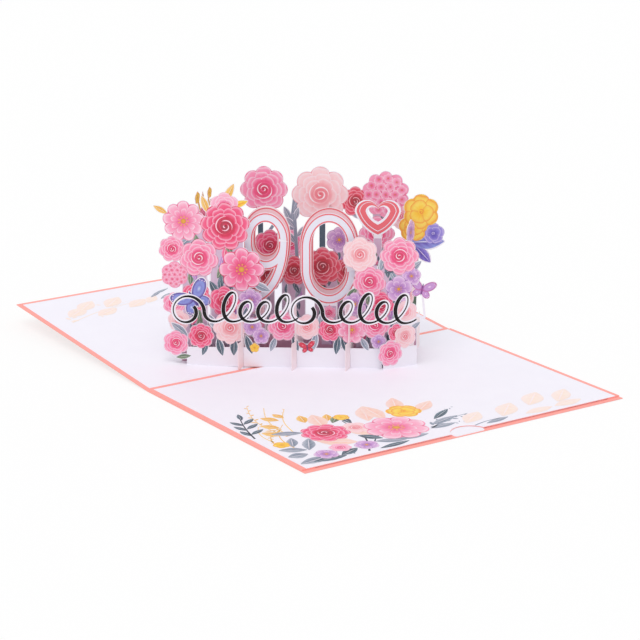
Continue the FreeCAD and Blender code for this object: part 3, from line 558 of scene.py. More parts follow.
@dataclass(frozen=True)
class Watercolour:
    """Printed watercolour: the ink of each point, with brush streaks and pooled pigment.

    Attributes:
        name: the material's name.
        streak: how much the streaks show.
        pool: how much the pooled pigment shows.
        deeper: what the deep places are multiplied by.
        lighter: how far the light places move towards white.
        middle: the balance of the two, from 0, deep, to 1, light.
    """

    name: str
    streak: float = 0.7
    pool: float = 0.5
    deeper: Ink = Ink(250, 224, 236)
    lighter: float = 0.13
    middle: float = 0.45

    def material(self) -> bpy.types.Material:
        """Returns the material, which reads the mesh's ink attribute and its UV map."""
        shader = Shader(self.name)
        place = shader.node("ShaderNodeTexCoord").outputs["Object"]
        brush = shader.node("ShaderNodeUVMap", {"uv_map": UV}).outputs["UV"]
        ink = shader.node("ShaderNodeAttribute", {"attribute_name": INK}).outputs["Color"]
        streaks = shader.noise(shader.stretched(brush, BRUSH_STREAKS), 1.0, 3.0)
        pooled = shader.noise(place, PIGMENT, 3.0)
        wash = (streaks - 0.5) * self.streak + (pooled - 0.5) * self.pool
        deeper = shader.blended(1.0, ink, self.deeper.linear(), "MULTIPLY")
        lighter = shader.blended(self.lighter, ink, WHITE.linear())
        color = shader.blended(wash + self.middle, deeper, lighter)
        fibres = shader.noise(shader.stretched(place, PRINT_FIBRES), 1.0, 3.0)
        shader.finish(color, 0.46 + pooled * 0.12, fibres, PRINT_RELIEF)
        return shader.material


@dataclass(frozen=True)
class PlainInk:
    """Flat printed ink, such as a pen stroke or an outline, with the paper's grain in it."""

    name: str
    grain: Ink = Ink(128, 112, 120)
    share: float = 0.06

    def material(self) -> bpy.types.Material:
        """Returns the material, which reads the mesh's ink attribute."""
        shader = Shader(self.name)
        place = shader.node("ShaderNodeTexCoord").outputs["Object"]
        ink = shader.node("ShaderNodeAttribute", {"attribute_name": INK}).outputs["Color"]
        fibres = shader.noise(shader.stretched(place, PRINT_FIBRES), 1.0, 3.0)
        color = shader.blended(fibres * self.share, ink, self.grain.linear())
        shader.finish(color, 0.42 + fibres * 0.14, fibres, PRINT_RELIEF)
        return shader.material


Point = tuple[float, float]


class Print:
    """The print of one paper, gathered field by field and made one mesh."""

    def __init__(self, plane: Plane, seed: int) -> None:
        self.plane = plane
        self.draw = random.Random(seed)
        self.level = 0
        self.ground = 0
        self.laid: list[tuple[float, float, float, int]] = []
        self.corners: list[Vector] = []
        self.faces: list[tuple[int, ...]] = []
        self.inks: list[tuple[float, float, float, float]] = []
        self.marks: list[Point] = []

    def lift(self) -> float:
        """Returns how far the present field lies in front of the paper."""
        return INK_LIFT + INK_STEP * self.level

    def rest_on(self, across: float, up: float, reach: float) -> None:
        """Sets the level just above all that is laid within `reach` of a place."""
        below = [
            top
            for x, y, near, top in self.laid
            if math.hypot(x - across, y - up) < near + reach
        ]
        self.level = max([self.ground] + below)

    def settle(self, across: float, up: float, reach: float) -> None:
        """Remembers what has been laid within `reach` of a place, up to the present level."""
        self.laid.append((across, up, reach, self.level))

    def corner(self, spot: Point, ink: Ink, mark: Point) -> int:
        """Adds a corner at the present level and returns its number."""
        self.corners.append(self.plane.place(spot[0], spot[1], self.lift()))
        self.inks.append(ink.linear())
        self.marks.append(mark)
        return len(self.corners) - 1

    def fan(
        self,
        path: Callable[[float, float], Point],
        tint: Callable[[float, float], Ink],
        rows: int,
        columns: int,
    ) -> None:
        """Adds a round field, closed in its middle and all the way round.

        Args:
            path: point of the drawing for a place out and a place round, both from 0 to 1.
            tint: ink for the same places.
            rows: steps outward.
            columns: steps round.
        """
        middle = self.corner(path(0.0, 0.0), tint(0.0, 0.0), (0.0, 0.0))
        inner: list[int] = []
        for row in range(1, rows + 1):
            out = row / rows
            ring = []
            for column in range(columns):
                over = column / columns
                mark = (out * math.cos(math.tau * over), out * math.sin(math.tau * over))
                ring.append(self.corner(path(out, over), tint(out, over), mark))
            for column in range(columns):
                after = (column + 1) % columns
                if inner:
                    self.faces.append((inner[column], ring[column], ring[after], inner[after]))
                else:
                    self.faces.append((middle, ring[column], ring[after]))
            inner = ring

    def patch(
        self,
        path: Callable[[float, float], Point],
        tint: Callable[[float, float], Ink],
        rows: int,
        columns: int,
    ) -> None:
        """Adds a field.

        Args:
            path: point of the drawing for a place out and a place over, both from 0 to 1.
            tint: ink for the same places.
            rows: steps outward.
            columns: steps over.
        """
        first = len(self.corners)
        for row in range(rows + 1):
            for column in range(columns + 1):
                out = row / rows
                over = column / columns
                self.corner(path(out, over), tint(out, over), (over, out))
        for row in range(rows):
            for column in range(columns):
                low = first + row * (columns + 1) + column
                high = low + columns + 1
                self.faces.append((low, high, high + 1, low + 1))

    def build(self, name: str, material: bpy.types.Material) -> bpy.types.Object:
        """Returns the print as one object that faces out of its paper.

        Args:
            name: the piece's name.
            material: the ink's material.

        Returns:
            The object, at the origin.
        """
        mesh = bpy.data.meshes.new(name)
        mesh.from_pydata(self.corners, [], [self.faced(face) for face in self.faces])
        inks = mesh.color_attributes.new(INK, "FLOAT_COLOR", "POINT")
        inks.data.foreach_set("color", [part for ink in self.inks for part in ink])
        layer = mesh.uv_layers.new(name=UV)
        for loop in mesh.loops:
            layer.data[loop.index].uv = self.marks[loop.vertex_index]
        mesh.materials.append(material)
        made = bpy.data.objects.new(name, mesh)
        bpy.context.scene.collection.objects.link(made)
        return made

    def faced(self, face: tuple[int, ...]) -> tuple[int, ...]:
        """Returns the face's corners in the order that makes it look out of the paper."""
        first, second, third = (self.corners[corner] for corner in face[:3])
        last = self.corners[face[-1]]
        outward = (third - first).cross(last - second).dot(self.plane.front)
        if len(face) == 3:
            outward = (second - first).cross(third - first).dot(self.plane.front)
        return face if outward > 0.0 else tuple(reversed(face))


def polar(across: float, up: float, reach: float, angle: float) -> Point:
    """Returns the point at `reach` and `angle` from a middle."""
    return (across + reach * math.cos(angle), up + reach * math.sin(angle))


class FlowerPainter:
    """Draws flowers on a print."""

    def __init__(self, sheet: Print) -> None:
        self.sheet = sheet

    def petal(
        self,
        flower: Flower,
        angle: float,
        half: float,
        root: float,
        tip: float,
        shift: float,
    ) -> None:
        """Adds one petal.

        Args:
            flower: the flower that it belongs to.
            angle: its direction.
            half: half the angle that it spans.
            root: its inner reach.
            tip: its outer reach.
            shift: how far its inks move towards the rim's.
        """
        wave = self.sheet.draw.uniform(0.0, math.tau)
        ruffle = RUFFLED_WAVE if flower.form is Form.RUFFLED else SMOOTH_WAVE
        palette = flower.palette

        def path(out: float, over: float) -> Point:
            side = 2.0 * over - 1.0
            width = half * (0.5 + 0.5 * math.sin(math.pi * (0.12 + 0.62 * out)))
            reach = root + (tip - root) * out * (1.0 - 0.2 * abs(side) ** 2.6)
            reach += tip * ruffle * out * math.sin(5.0 * side + wave)
            return polar(flower.across, flower.up, min(reach, tip), angle + side * width)

        def tint(out: float, over: float) -> Ink:
            side = abs(2.0 * over - 1.0)
            veins = 0.1 * math.cos(9.0 * side) * out
            body = palette.tint(min(0.84, 0.1 + out * 0.78 + veins + shift))
            crease = max(0.0, side - 0.62) * (1.0 - out) * 1.6
            edge = max(0.0, out - 0.8) * 4.5 + max(0.0, side - 0.86) * out * 5.0
            return body.toward(palette.deep, crease).toward(palette.rim, edge)

        self.sheet.patch(path, tint, PETAL_ROWS, PETAL_COLUMNS)

    def wash(self, flower: Flower) -> None:
        """Adds the flower's ground, which follows the cut outline just inside it."""

        def path(out: float, over: float) -> Point:
            place = 2.0 * ((over * flower.petals + 0.5) % 1.0) - 1.0
            edge = flower.reach * (VALLEY + (1.0 - VALLEY) * (1.0 - place * place)) - CUT_MARGIN
            return polar(flower.across, flower.up, out * edge, math.pi / 2.0 + math.tau * over)

        def tint(out: float, over: float) -> Ink:
            place = abs(2.0 * ((over * flower.petals + 0.5) % 1.0) - 1.0)
            body = flower.palette.tint(0.2 + 0.5 * out)
            return body.toward(flower.palette.deep, 0.5 * place**4.0)

        self.sheet.fan(path, tint, 4, flower.petals * 8)
        self.sheet.level += 1

    def crescent(self, flower: Flower, share: float, start: float, sweep: float, ink: Ink) -> None:
        """Adds a curved stroke round the flower's heart, thick in its middle.

        Args:
            flower: the flower.
            share: how far from the middle it lies, as a share of the flower's reach.
            start: where it starts, as an angle.
            sweep: the angle that it runs through.
            ink: its ink.
        """

        def path(out: float, over: float) -> Point:
            half = flower.reach * 0.026 * math.sin(math.pi * (0.05 + 0.9 * over))
            reach = flower.reach * share * (1.0 - 0.25 * over) + half * (2.0 * out - 1.0)
            return polar(flower.across, flower.up, reach, start + sweep * over)

        self.sheet.patch(path, lambda out, over: ink, 1, 12)

    def spiral(self, flower: Flower, reach: float) -> None:
        """Draws a rolled heart: a dark ground with light and deep strokes that close on it."""
        self.disc(flower.across, flower.up, flower.reach * reach, flower.palette.deep, flower.palette.mid)
        start = self.sheet.draw.uniform(0.0, math.tau)
        shares = (0.98, 0.84, 0.7, 0.56, 0.42, 0.28, 0.14)
        for number, share in enumerate(shares):
            ink = flower.palette.rim if number % 2 == 0 else flower.palette.mid
            self.crescent(flower, reach * share, start + 2.2 * number, 3.0, ink)
            self.sheet.level += 1

    def ring(
        self, flower: Flower, count: int, root: float, tip: float, spread: float, shift: float
    ) -> None:
        """Adds a ring of petals, every third at a level of its own so that neighbours overlap.

        Args:
            flower: the flower.
            count: number of petals.
            root: where they start, as a share of the flower's reach.
            tip: where they end; petals that reach the rim follow the cut outline.
            spread: how wide they are, 1 where they just meet.
            shift: how far their inks move towards the rim's.
        """
        base = self.sheet.level
        turn = self.sheet.draw.uniform(0.0, math.tau)
        if tip > RIM_TIP:
            turn = math.pi / 2.0
        for number in range(count):
            self.sheet.level = base + number % 3
            angle = turn + math.tau * number / count
            half = math.pi / count * spread
            varied = shift + self.sheet.draw.uniform(-0.09, 0.09)
            self.petal(flower, angle, half, root * flower.reach, tip * flower.reach, varied)
        self.sheet.level = base + 3

    def disc(self, across: float, up: float, reach: float, inner: Ink, outer: Ink) -> None:
        """Adds a round field from one ink in its middle to another on its rim."""
        self.sheet.fan(
            lambda out, over: polar(across, up, out * reach, math.tau * over),
            lambda out, over: inner.toward(outer, out),
            2,
            14,
        )
        self.sheet.level += 1

    def full(self, flower: Flower) -> None:
        """Draws a full rose or peony: three rings of petals closing on a rolled heart."""
        self.wash(flower)
        self.ring(flower, flower.petals, root=0.34, tip=0.95, spread=1.1, shift=0.24)
        self.ring(flower, max(5, flower.petals - 1), root=0.2, tip=0.76, spread=1.16, shift=0.1)
        self.ring(flower, 5, root=0.1, tip=0.58, spread=1.2, shift=-0.1)
        self.spiral(flower, reach=0.42)

    def open(self, flower: Flower) -> None:
        """Draws an open flower: two rings of long petals round a gold eye with stamens."""
        self.wash(flower)
        self.ring(flower, flower.petals, root=0.1, tip=0.95, spread=1.02, shift=0.1)
        self.ring(flower, flower.petals, root=0.08, tip=0.62, spread=0.8, shift=-0.04)
        self.disc(flower.across, flower.up, flower.reach * 0.19, flower.palette.deep, flower.palette.mid)
        stamens = 9
        for number in range(stamens):
            angle = math.tau * number / stamens
            across, up = polar(flower.across, flower.up, flower.reach * 0.22, angle)
            self.disc(across, up, flower.reach * 0.035, POLLEN, POLLEN)
            self.sheet.level -= 1
        self.sheet.level += 1
        self.disc(flower.across, flower.up, flower.reach * 0.13, POLLEN, GOLD.deep)

    def cluster(self, flower: Flower) -> None:
        """Draws a head of many small florets of four petals."""
        self.wash(flower)
        spots = [(0.0, 0.0)]
        spots += [(0.38, math.tau * number / 6.0) for number in range(6)]
        spots += [(0.7, math.tau * (number + 0.5) / 11.0) for number in range(11)]
        for share, angle in spots:
            across, up = polar(flower.across, flower.up, share * flower.reach, angle)
            floret = Flower(across, up, flower.reach * 0.23, 4, flower.palette)
            shift = self.sheet.draw.uniform(0.0, 0.22)
            self.ring(floret, floret.petals, root=0.08, tip=0.9, spread=1.0, shift=shift)
            self.disc(across, up, floret.reach * 0.16, POLLEN, flower.palette.deep)

    def ruffled(self, flower: Flower) -> None:
        """Draws an iris: a few wide ruffled petals, standards over falls."""
        self.wash(flower)
        self.ring(flower, flower.petals, root=0.06, tip=0.95, spread=1.2, shift=0.24)
        self.ring(flower, 3, root=0.04, tip=0.68, spread=1.1, shift=0.12)
        self.spiral(flower, reach=0.16)

    def paint(self, flower: Flower) -> None:
        """Draws a flower by its form, above all that it covers."""
        self.sheet.rest_on(flower.across, flower.up, flower.reach)
        {
            Form.FULL: self.full,
            Form.OPEN: self.open,
            Form.CLUSTER: self.cluster,
            Form.RUFFLED: self.ruffled,
        }[flower.form](flower)
        self.sheet.settle(flower.across, flower.up, flower.reach)


class LeafPainter:
    """Draws leaves and leafy stems on a print."""

    def __init__(self, sheet: Print) -> None:
        self.sheet = sheet

    def paint(self, frond: Frond) -> None:
        """Draws a leaf: a light half, a dark half and a pale midrib, above all that it covers."""
        turn = math.radians(frond.turn)
        along = (math.cos(turn), math.sin(turn))
        half_length = frond.length / 2.0
        middle = (frond.across + along[0] * half_length, frond.up + along[1] * half_length)
        self.sheet.rest_on(*middle, half_length)

        def spot(share: float, side: float) -> Point:
            reach = frond.length * (0.04 + 0.92 * share)
            half = frond.width * 0.42 * math.sin(math.pi * (0.03 + 0.94 * share))
            return (
                frond.across + along[0] * reach - along[1] * half * side,
                frond.up + along[1] * reach + along[0] * half * side,
            )

        for side, shift in ((1.0, 0.16), (-1.0, -0.04)):
            self.sheet.patch(
                lambda out, over, side=side: spot(over, side * out),
                lambda out, over, shift=shift: self.vein(frond.palette, out, over, shift),
                3,
                16,
            )
        self.sheet.level += 1
        self.sheet.patch(
            lambda out, over: spot(over, (out - 0.5) * 0.16),
            lambda out, over: frond.palette.rim,
            1,
            10,
        )
        self.sheet.level += 1
        self.sheet.settle(*middle, half_length)

    @staticmethod
    def vein(palette: Palette, out: float, over: float, shift: float) -> Ink:
        """Returns a leaf's ink: darker at its root, with light veins that slant to its tip."""
        veins = 0.14 * math.cos(math.tau * (4.0 * over - 1.2 * out))
        return palette.tint(0.12 + 0.5 * out + 0.18 * over + veins + shift)

    def foliage(self, stem: Foliage) -> None:
        """Draws a stem: a pale ground with small leaves to both sides where it is wide."""
        run = Vector((stem.to_across - stem.across, stem.to_up - stem.up))
        along = run.normalized()
        half = stem.width / 2.0 * 0.92
        wide = stem.width > NARROW_STEM
        ground = GROUND if wide else stem.palette.mid
        self.sheet.level = self.sheet.ground
        self.sheet.patch(
            lambda out, over: (
                stem.across + run.x * out - along.y * half * (2.0 * over - 1.0),
                stem.up + run.y * out + along.x * half * (2.0 * over - 1.0),
            ),
            lambda out, over: ground,
            6,
            1,
        )
        self.sheet.level += 1
        self.sheet.ground = self.sheet.level
        if not wide:
            return
        base = math.degrees(math.atan2(along.y, along.x))
        count = int(run.length / LEAF_SPACING)
        length = min(LONGEST_LEAF, stem.width * 0.75)
        for number in range(count):
            share = 0.86 * number / count
            side = 1.0 if number % 2 else -1.0
            aside = side * stem.width * self.sheet.draw.uniform(0.06, 0.2)
            self.paint(
                Frond(
                    stem.across + run.x * share - along.y * aside,
                    stem.up + run.y * share + along.x * aside,
                    length,
                    length * 0.42,
                    base - side * self.sheet.draw.uniform(-12.0, 30.0),
                    self.sheet.draw.choice((stem.palette, TEAL, GREY, GREEN, ROSE, LILAC)),
                )
            )


class WingPainter:
    """Draws butterflies on a print."""

    FORE = (0.3, 0.17, 0.24, 0.15, 38.0)
    HIND = (0.2, 0.14, 0.16, -0.14, -45.0)

    def __init__(self, sheet: Print) -> None:
        self.sheet = sheet

    def oval(
        self, wings: Wings, center: Point, half: Point, turn: float, inks: Sequence[Ink]
    ) -> None:
        """Adds an oval field.

        Args:
            wings: the butterfly that it belongs to.
            center: its middle, from the butterfly's, as a share of the span.
            half: its half length and half width, as shares of the span.
            turn: its turn in degrees.
            inks: its inks from the butterfly's body outward.
        """
        own = math.radians(turn)
        whole = math.radians(wings.turn)

        def path(out: float, over: float) -> Point:
            angle = math.tau * over
            long = half[0] * out * math.cos(angle)
            wide = half[1] * out * math.sin(angle)
            x = center[0] + long * math.cos(own) - wide * math.sin(own)
            y = center[1] + long * math.sin(own) + wide * math.cos(own)
            return (
                wings.across + wings.span * (x * math.cos(whole) - y * math.sin(whole)),
                wings.up + wings.span * (x * math.sin(whole) + y * math.cos(whole)),
            )

        def tint(out: float, over: float) -> Ink:
            place = out * (len(inks) - 1)
            low = min(int(place), len(inks) - 2)
            return inks[low].toward(inks[low + 1], place - low)

        self.sheet.fan(path, tint, 6, 24)
        self.sheet.level += 1

    def paint(self, wings: Wings) -> None:
        """Draws the four wings, their pale spots and the body."""
        shades = [
            wings.palette.rim,
            wings.palette.light,
            wings.palette.mid,
            wings.palette.light,
            wings.palette.mid,
            wings.margin,
        ]
        for side in (-1.0, 1.0):
            for long, wide, across, up, turn in (self.HIND, self.FORE):
                center = (side * across, up)
                self.oval(wings, center, (long * 0.92, wide * 0.9), side * turn, shades)
                for share in (-0.35, 0.0, 0.35):
                    tip = math.radians(side * turn)
                    far = 0.72 * long
                    spot = (
                        center[0] + side * far * math.cos(tip) - share * wide * math.sin(tip),
                        center[1] + side * far * math.sin(tip) + share * wide * math.cos(tip),
                    )
                    self.oval(wings, spot, (0.016, 0.012), 0.0, [SPOT, SPOT])
        self.oval(wings, (0.0, 0.0), (0.03, 0.22), 0.0, [wings.margin, MARGIN_VIOLET])


class Painter:
    """Draws a sheet's items in their order."""

    def __init__(self, sheet: Print) -> None:
        self.sheet = sheet
        self.flowers = FlowerPainter(sheet)
        self.leaves = LeafPainter(sheet)
        self.wings = WingPainter(sheet)

    def shade(self, shadow: Shadow) -> None:
        """Draws the painted shade along a sheet's foot, darker at the bottom and paler at its top."""
        # Painted shade, darker at the foot and paler above, in place of the shade that falls there
        self.sheet.patch(
            lambda out, over: (
                shadow.left + (shadow.right - shadow.left) * over,
                shadow.bottom + (shadow.top - shadow.bottom) * out,
            ),
            lambda out, over: SHADE.toward(SHADE_TOP, out),
            2,
            8,
        )
        self.sheet.level += 1
        self.sheet.ground = self.sheet.level

    def line(self, stalk: Stalk) -> None:
        """Draws a fine bowed line on the ground."""
        points = arc((stalk.across, stalk.up), (stalk.to_across, stalk.to_up), stalk.bow)
        last = len(points) - 1

        def path(out: float, over: float) -> Point:
            number = round(over * last)
            before = Vector(points[max(0, number - 1)])
            along = (Vector(points[min(last, number + 1)]) - before).normalized()
            half = stalk.width / 2.0 * (1.0 - 0.5 * over) * (2.0 * out - 1.0)
            return (points[number][0] - along.y * half, points[number][1] + along.x * half)

        self.sheet.level = self.sheet.ground
        self.sheet.patch(path, lambda out, over: stalk.ink, 1, last)

    def paint(self, items: Sequence[Any]) -> None:
        """Draws every item: shades, stems, lines, leaves, flowers and wings."""
        for item in items:
            if isinstance(item, Shadow):
                self.shade(item)
            elif isinstance(item, Stalk):
                self.line(item)
            elif isinstance(item, Foliage):
                self.leaves.foliage(item)
            elif isinstance(item, Frond):
                self.leaves.paint(item)
            elif isinstance(item, Flower):
                self.flowers.paint(item)
            else:
                self.wings.paint(item)


class Inks:
    """The finishes of the card's papers and inks."""

    def __init__(self) -> None:
        self.stocks = {
            "coral_card": Stock("coral_card", Ink(255, 160, 151), Ink(255, 178, 170), 0.62, 0.3),
            "liner_paper": Stock("liner_paper", Ink(249, 247, 255), Ink(242, 239, 250), 0.58, 0.16),
            "sheet_paper": Stock("sheet_paper", Ink(247, 244, 251), Ink(240, 236, 246), 0.64, 0.2),
            "blush_paper": Stock("blush_paper", Ink(254, 240, 242), Ink(251, 230, 234), 0.64, 0.2),
        }
        self.papers = {name: stock.material() for name, stock in self.stocks.items()}
        self.watercolour = Watercolour("watercolour").material()
        self.plain = PlainInk("plain_ink").material()


@dataclass
class PrintedSheet:
    """A paper and what is printed on it.

    Attributes:
        node: the paper's node.
        plane: its printed face.
        items: what is printed, from the lowest field to the highest.
        slot: the record's slot of the paper; not used.
        ground: the level where its fields start.
    """

    node: str
    plane: Plane
    items: list[Any] = field(default_factory=list)
    slot: str = "sheet_paper"
    ground: int = 0

    def build(self, inks: Inks, seed: int) -> bpy.types.Object:
        """Returns the finished print, riding on the card."""
        sheet = Print(self.plane, seed)
        sheet.ground = self.ground
        Painter(sheet).paint(self.items)
        LOG.info("%s: %d levels", self.node, max((top for *_, top in sheet.laid), default=0))
        made = sheet.build(f"{self.node}_print", inks.watercolour)
        return carried(made)


def carried(piece: bpy.types.Object) -> bpy.types.Object:
    """Lets a piece ride on the card."""
    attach(piece, ROOT)
    LOG.info("%s: %d faces", piece.name, len(piece.data.polygons))
    return piece


def front_wall() -> PrintedSheet:
    """Returns the front wall's print."""
    items = [
        Frond(-51.6, 17.0, 12.0, 4.6, 140.0, GREY),
        Frond(-50.0, 6.0, 8.6, 3.2, 187.0, GREEN),
        Frond(-41.0, 14.5, 9.0, 3.6, -110.0),
        Frond(-35.6, 16.5, 11.0, 4.6, -76.0),
        Frond(-26.6, 16.0, 10.0, 4.8, -92.0),
        Frond(-20.4, 18.0, 11.5, 4.4, -72.0),
        Frond(-4.0, 17.0, 9.0, 3.6, -110.0, GREY),
        Frond(5.0, 18.0, 9.5, 3.8, -70.0),
        Frond(18.0, 20.0, 11.0, 4.0, -100.0, GREY),
        Frond(30.0, 18.0, 11.0, 4.4, -98.0),
        Frond(31.5, 18.0, 11.0, 4.2, -70.0),
        Frond(42.0, 17.0, 8.5, 3.6, -60.0, GREY),
        Frond(19.6, 22.0, 10.0, 4.0, 80.0, GREY),
        Frond(-20.6, 24.0, 10.0, 4.0, 85.0),
        Frond(-36.0, 20.5, 10.0, 4.2, 115.0, GREY),
        Flower(-58.3, 13.2, 7.2, 6, ROSE),
        Flower(-44.6, 17.3, 7.2, 8, CRIMSON),
        Flower(-28.8, 22.0, 9.4, 8, PALE),
        Flower(-16.8, 22.5, 5.2, 5, LILAC, Form.OPEN),
        Flower(-12.0, 17.5, 4.8, 5, LILAC, Form.OPEN),
        Flower(-15.6, 10.8, 2.8, 5, YELLOW, Form.OPEN),
        Flower(0.0, 23.4, 8.8, 7, ROSE),
        Flower(12.9, 22.9, 7.2, 6, PALE),
        Flower(25.3, 21.4, 6.8, 7, CRIMSON),
        Flower(37.2, 21.5, 8.0, 7, PINK, Form.OPEN),
        Flower(49.8, 24.4, 8.0, 7, ROSE),
        Flower(51.6, 15.0, 4.4, 5, LILAC, Form.OPEN),
    ]
    return PrintedSheet("front_wall", sheet_plane(FRONT_WALL_OFFSET), items)


def left_bouquet() -> PrintedSheet:
    """Returns the left bouquet's print."""
    items = [
        Shadow(-55.6, -14.4),
        Foliage(-48.0, 10.0, -48.0, 76.0, 14.0),
        Foliage(-30.5, 10.0, -30.5, 72.0, 19.0),
        Frond(-32.0, 90.0, 12.5, 4.6, 62.0, GOLD),
        Frond(-28.0, 88.0, 10.0, 4.0, 20.0, YELLOW),
        Frond(-40.0, 84.0, 11.0, 4.2, 110.0, GOLD),
        Frond(-62.0, 84.0, 9.0, 3.6, 150.0, GOLD),
        Frond(-36.0, 48.0, 11.0, 5.0, 60.0, GREEN),
        Frond(-40.0, 47.0, 10.0, 4.6, -60.0),
        Frond(-56.0, 66.0, 10.0, 4.6, 40.0, GREY),
        Frond(-17.0, 46.0, 11.0, 4.6, -25.0, GREY),
        Frond(-27.0, 44.0, 11.0, 4.8, -130.0),
        Flower(-31.5, 88.0, 8.2, 6, PINK),
        Flower(-53.6, 80.0, 11.4, 9, PINK, Form.OPEN),
        Flower(-31.3, 77.2, 13.6, 9, CRIMSON),
        Flower(-60.0, 64.5, 7.4, 7, ROSE),
        Flower(-58.8, 50.2, 7.6, 6, PINK, Form.CLUSTER),
        Flower(-45.5, 59.7, 10.8, 7, ROSE),
        Flower(-22.6, 53.4, 12.4, 8, ROSE, Form.OPEN),
        Flower(-59.5, 34.0, 6.4, 6, ROSE),
        Flower(-57.0, 24.4, 6.2, 5, PALE),
        Flower(-47.5, 38.0, 8.4, 7, CRIMSON),
        Flower(-18.0, 36.0, 6.8, 6, LILAC, Form.OPEN),
        Flower(-32.0, 35.5, 8.8, 7, CRIMSON),
    ]
    return PrintedSheet("left_bouquet", sheet_plane(BOUQUET_OFFSET), items)


def right_bouquet() -> PrintedSheet:
    """Returns the right bouquet's print."""
    items = [
        Shadow(31.4, 65.6),
        Foliage(45.0, 10.0, 45.0, 56.0, 12.0),
        Foliage(58.5, 10.0, 58.5, 58.0, 14.0),
        Frond(52.0, 53.0, 11.0, 4.8, 70.0, GREY),
        Frond(54.0, 52.0, 12.0, 4.6, 25.0),
        Frond(66.0, 52.0, 11.0, 4.4, 40.0, GREY),
        Frond(52.0, 40.0, 11.0, 4.6, -20.0),
        Frond(40.0, 44.0, 10.0, 4.4, -130.0, GREEN),
        Frond(63.0, 27.0, 9.0, 4.0, -125.0),
        Flower(38.5, 34.5, 6.8, 6, LILAC, Form.OPEN),
        Flower(66.0, 30.5, 6.6, 6, PALE),
        Flower(53.0, 34.5, 7.4, 7, CRIMSON),
        Flower(69.0, 50.5, 5.4, 5, LILAC, Form.OPEN),
        Flower(62.2, 43.2, 7.6, 5, LILAC, Form.OPEN),
        Flower(46.4, 47.2, 9.2, 7, ROSE),
        Flower(41.2, 62.3, 9.8, 6, PALE),
        Flower(62.4, 61.6, 10.6, 8, ROSE),
    ]
    return PrintedSheet("right_bouquet", sheet_plane(BOUQUET_OFFSET), items)


def mid_flowers() -> PrintedSheet:
    """Returns the print of the flowers behind the numerals."""
    items = [
        Shadow(-18.6, 49.6),
        Foliage(-10.0, 10.0, -10.0, 60.0, 8.0),
        Foliage(6.0, 10.0, 6.0, 46.0, 10.0),
        Foliage(22.0, 10.0, 22.0, 48.0, 12.0),
        Foliage(30.0, 10.0, 30.0, 62.0, 8.0),
        Foliage(7.0, 44.0, 5.0, 79.0, 2.0, GREY),
        Frond(6.0, 62.0, 9.0, 3.4, 125.0, GREY),
        Frond(6.2, 66.0, 9.0, 3.4, 50.0, GREY),
        Frond(5.6, 71.0, 8.0, 3.2, 130.0, GREY),
        Frond(5.2, 75.0, 8.0, 3.2, 75.0, GREY),
        Frond(-2.0, 58.0, 11.0, 4.4, 100.0),
        Frond(14.0, 40.0, 10.0, 4.6, 100.0),
        Flower(41.0, 60.0, 7.4, 6, ROSE),
        Flower(34.0, 47.0, 8.4, 7, RED),
        Flower(-9.5, 44.0, 8.8, 7, RED),
        Flower(4.8, 47.0, 8.6, 7, RED),
        Flower(-8.4, 61.0, 9.2, 7, CRIMSON),
        Flower(29.5, 64.6, 7.4, 6, LILAC, Form.OPEN),
        Flower(20.4, 49.5, 11.0, 8, RED),
    ]
    return PrintedSheet("mid_flowers", sheet_plane(MID_FLOWERS_OFFSET), items)


def posts() -> list[PrintedSheet]:
    """Returns the prints of the posts under the figures and of the heart's stem."""
    figure_items = [
        Shadow(-22.6, 43.6),
        Foliage(-14.3, 10.0, -14.3, 34.0, 8.6),
        Foliage(24.4, 10.0, 24.4, 32.0, 8.6),
        Flower(-14.3, 30.0, 4.2, 6, PALE),
        Flower(-14.3, 22.0, 4.2, 6, ROSE),
        Flower(24.4, 28.0, 4.2, 6, ROSE),
        Flower(24.4, 20.4, 4.2, 5, LILAC, Form.OPEN),
    ]
    stem_items = [
        Shadow(36.9, 67.6),
        Foliage(50.6, 10.0, 50.6, 69.0, 4.2, GREY),
    ]
    return [
        PrintedSheet("figure_posts", sheet_plane(NUMERAL_FRONT_OFFSET), figure_items),
        PrintedSheet("heart_stem", sheet_plane(PLAQUE_OFFSET), stem_items),
    ]


def iris_spray() -> PrintedSheet:
    """Returns the iris spray's print."""
    items = [
        Shadow(51.4, 72.1),
        Foliage(69.6, 10.0, 72.0, 74.0, 3.6, GREEN),
        Frond(70.0, 40.0, 15.0, 5.2, 112.0, GREEN),
        Frond(69.6, 28.0, 16.0, 5.2, 104.0),
        Frond(71.0, 60.5, 13.0, 6.6, -48.0, VIOLET),
        Frond(67.0, 62.4, 20.5, 9.6, 2.0, BLUE),
        Flower(81.0, 67.4, 6.2, 5, VIOLET, Form.RUFFLED),
        Flower(69.8, 70.6, 8.2, 5, YELLOW, Form.RUFFLED),
        Flower(74.0, 79.5, 10.2, 6, YELLOW, Form.RUFFLED),
    ]
    return PrintedSheet("iris_spray", sheet_plane(IRIS_OFFSET), items)


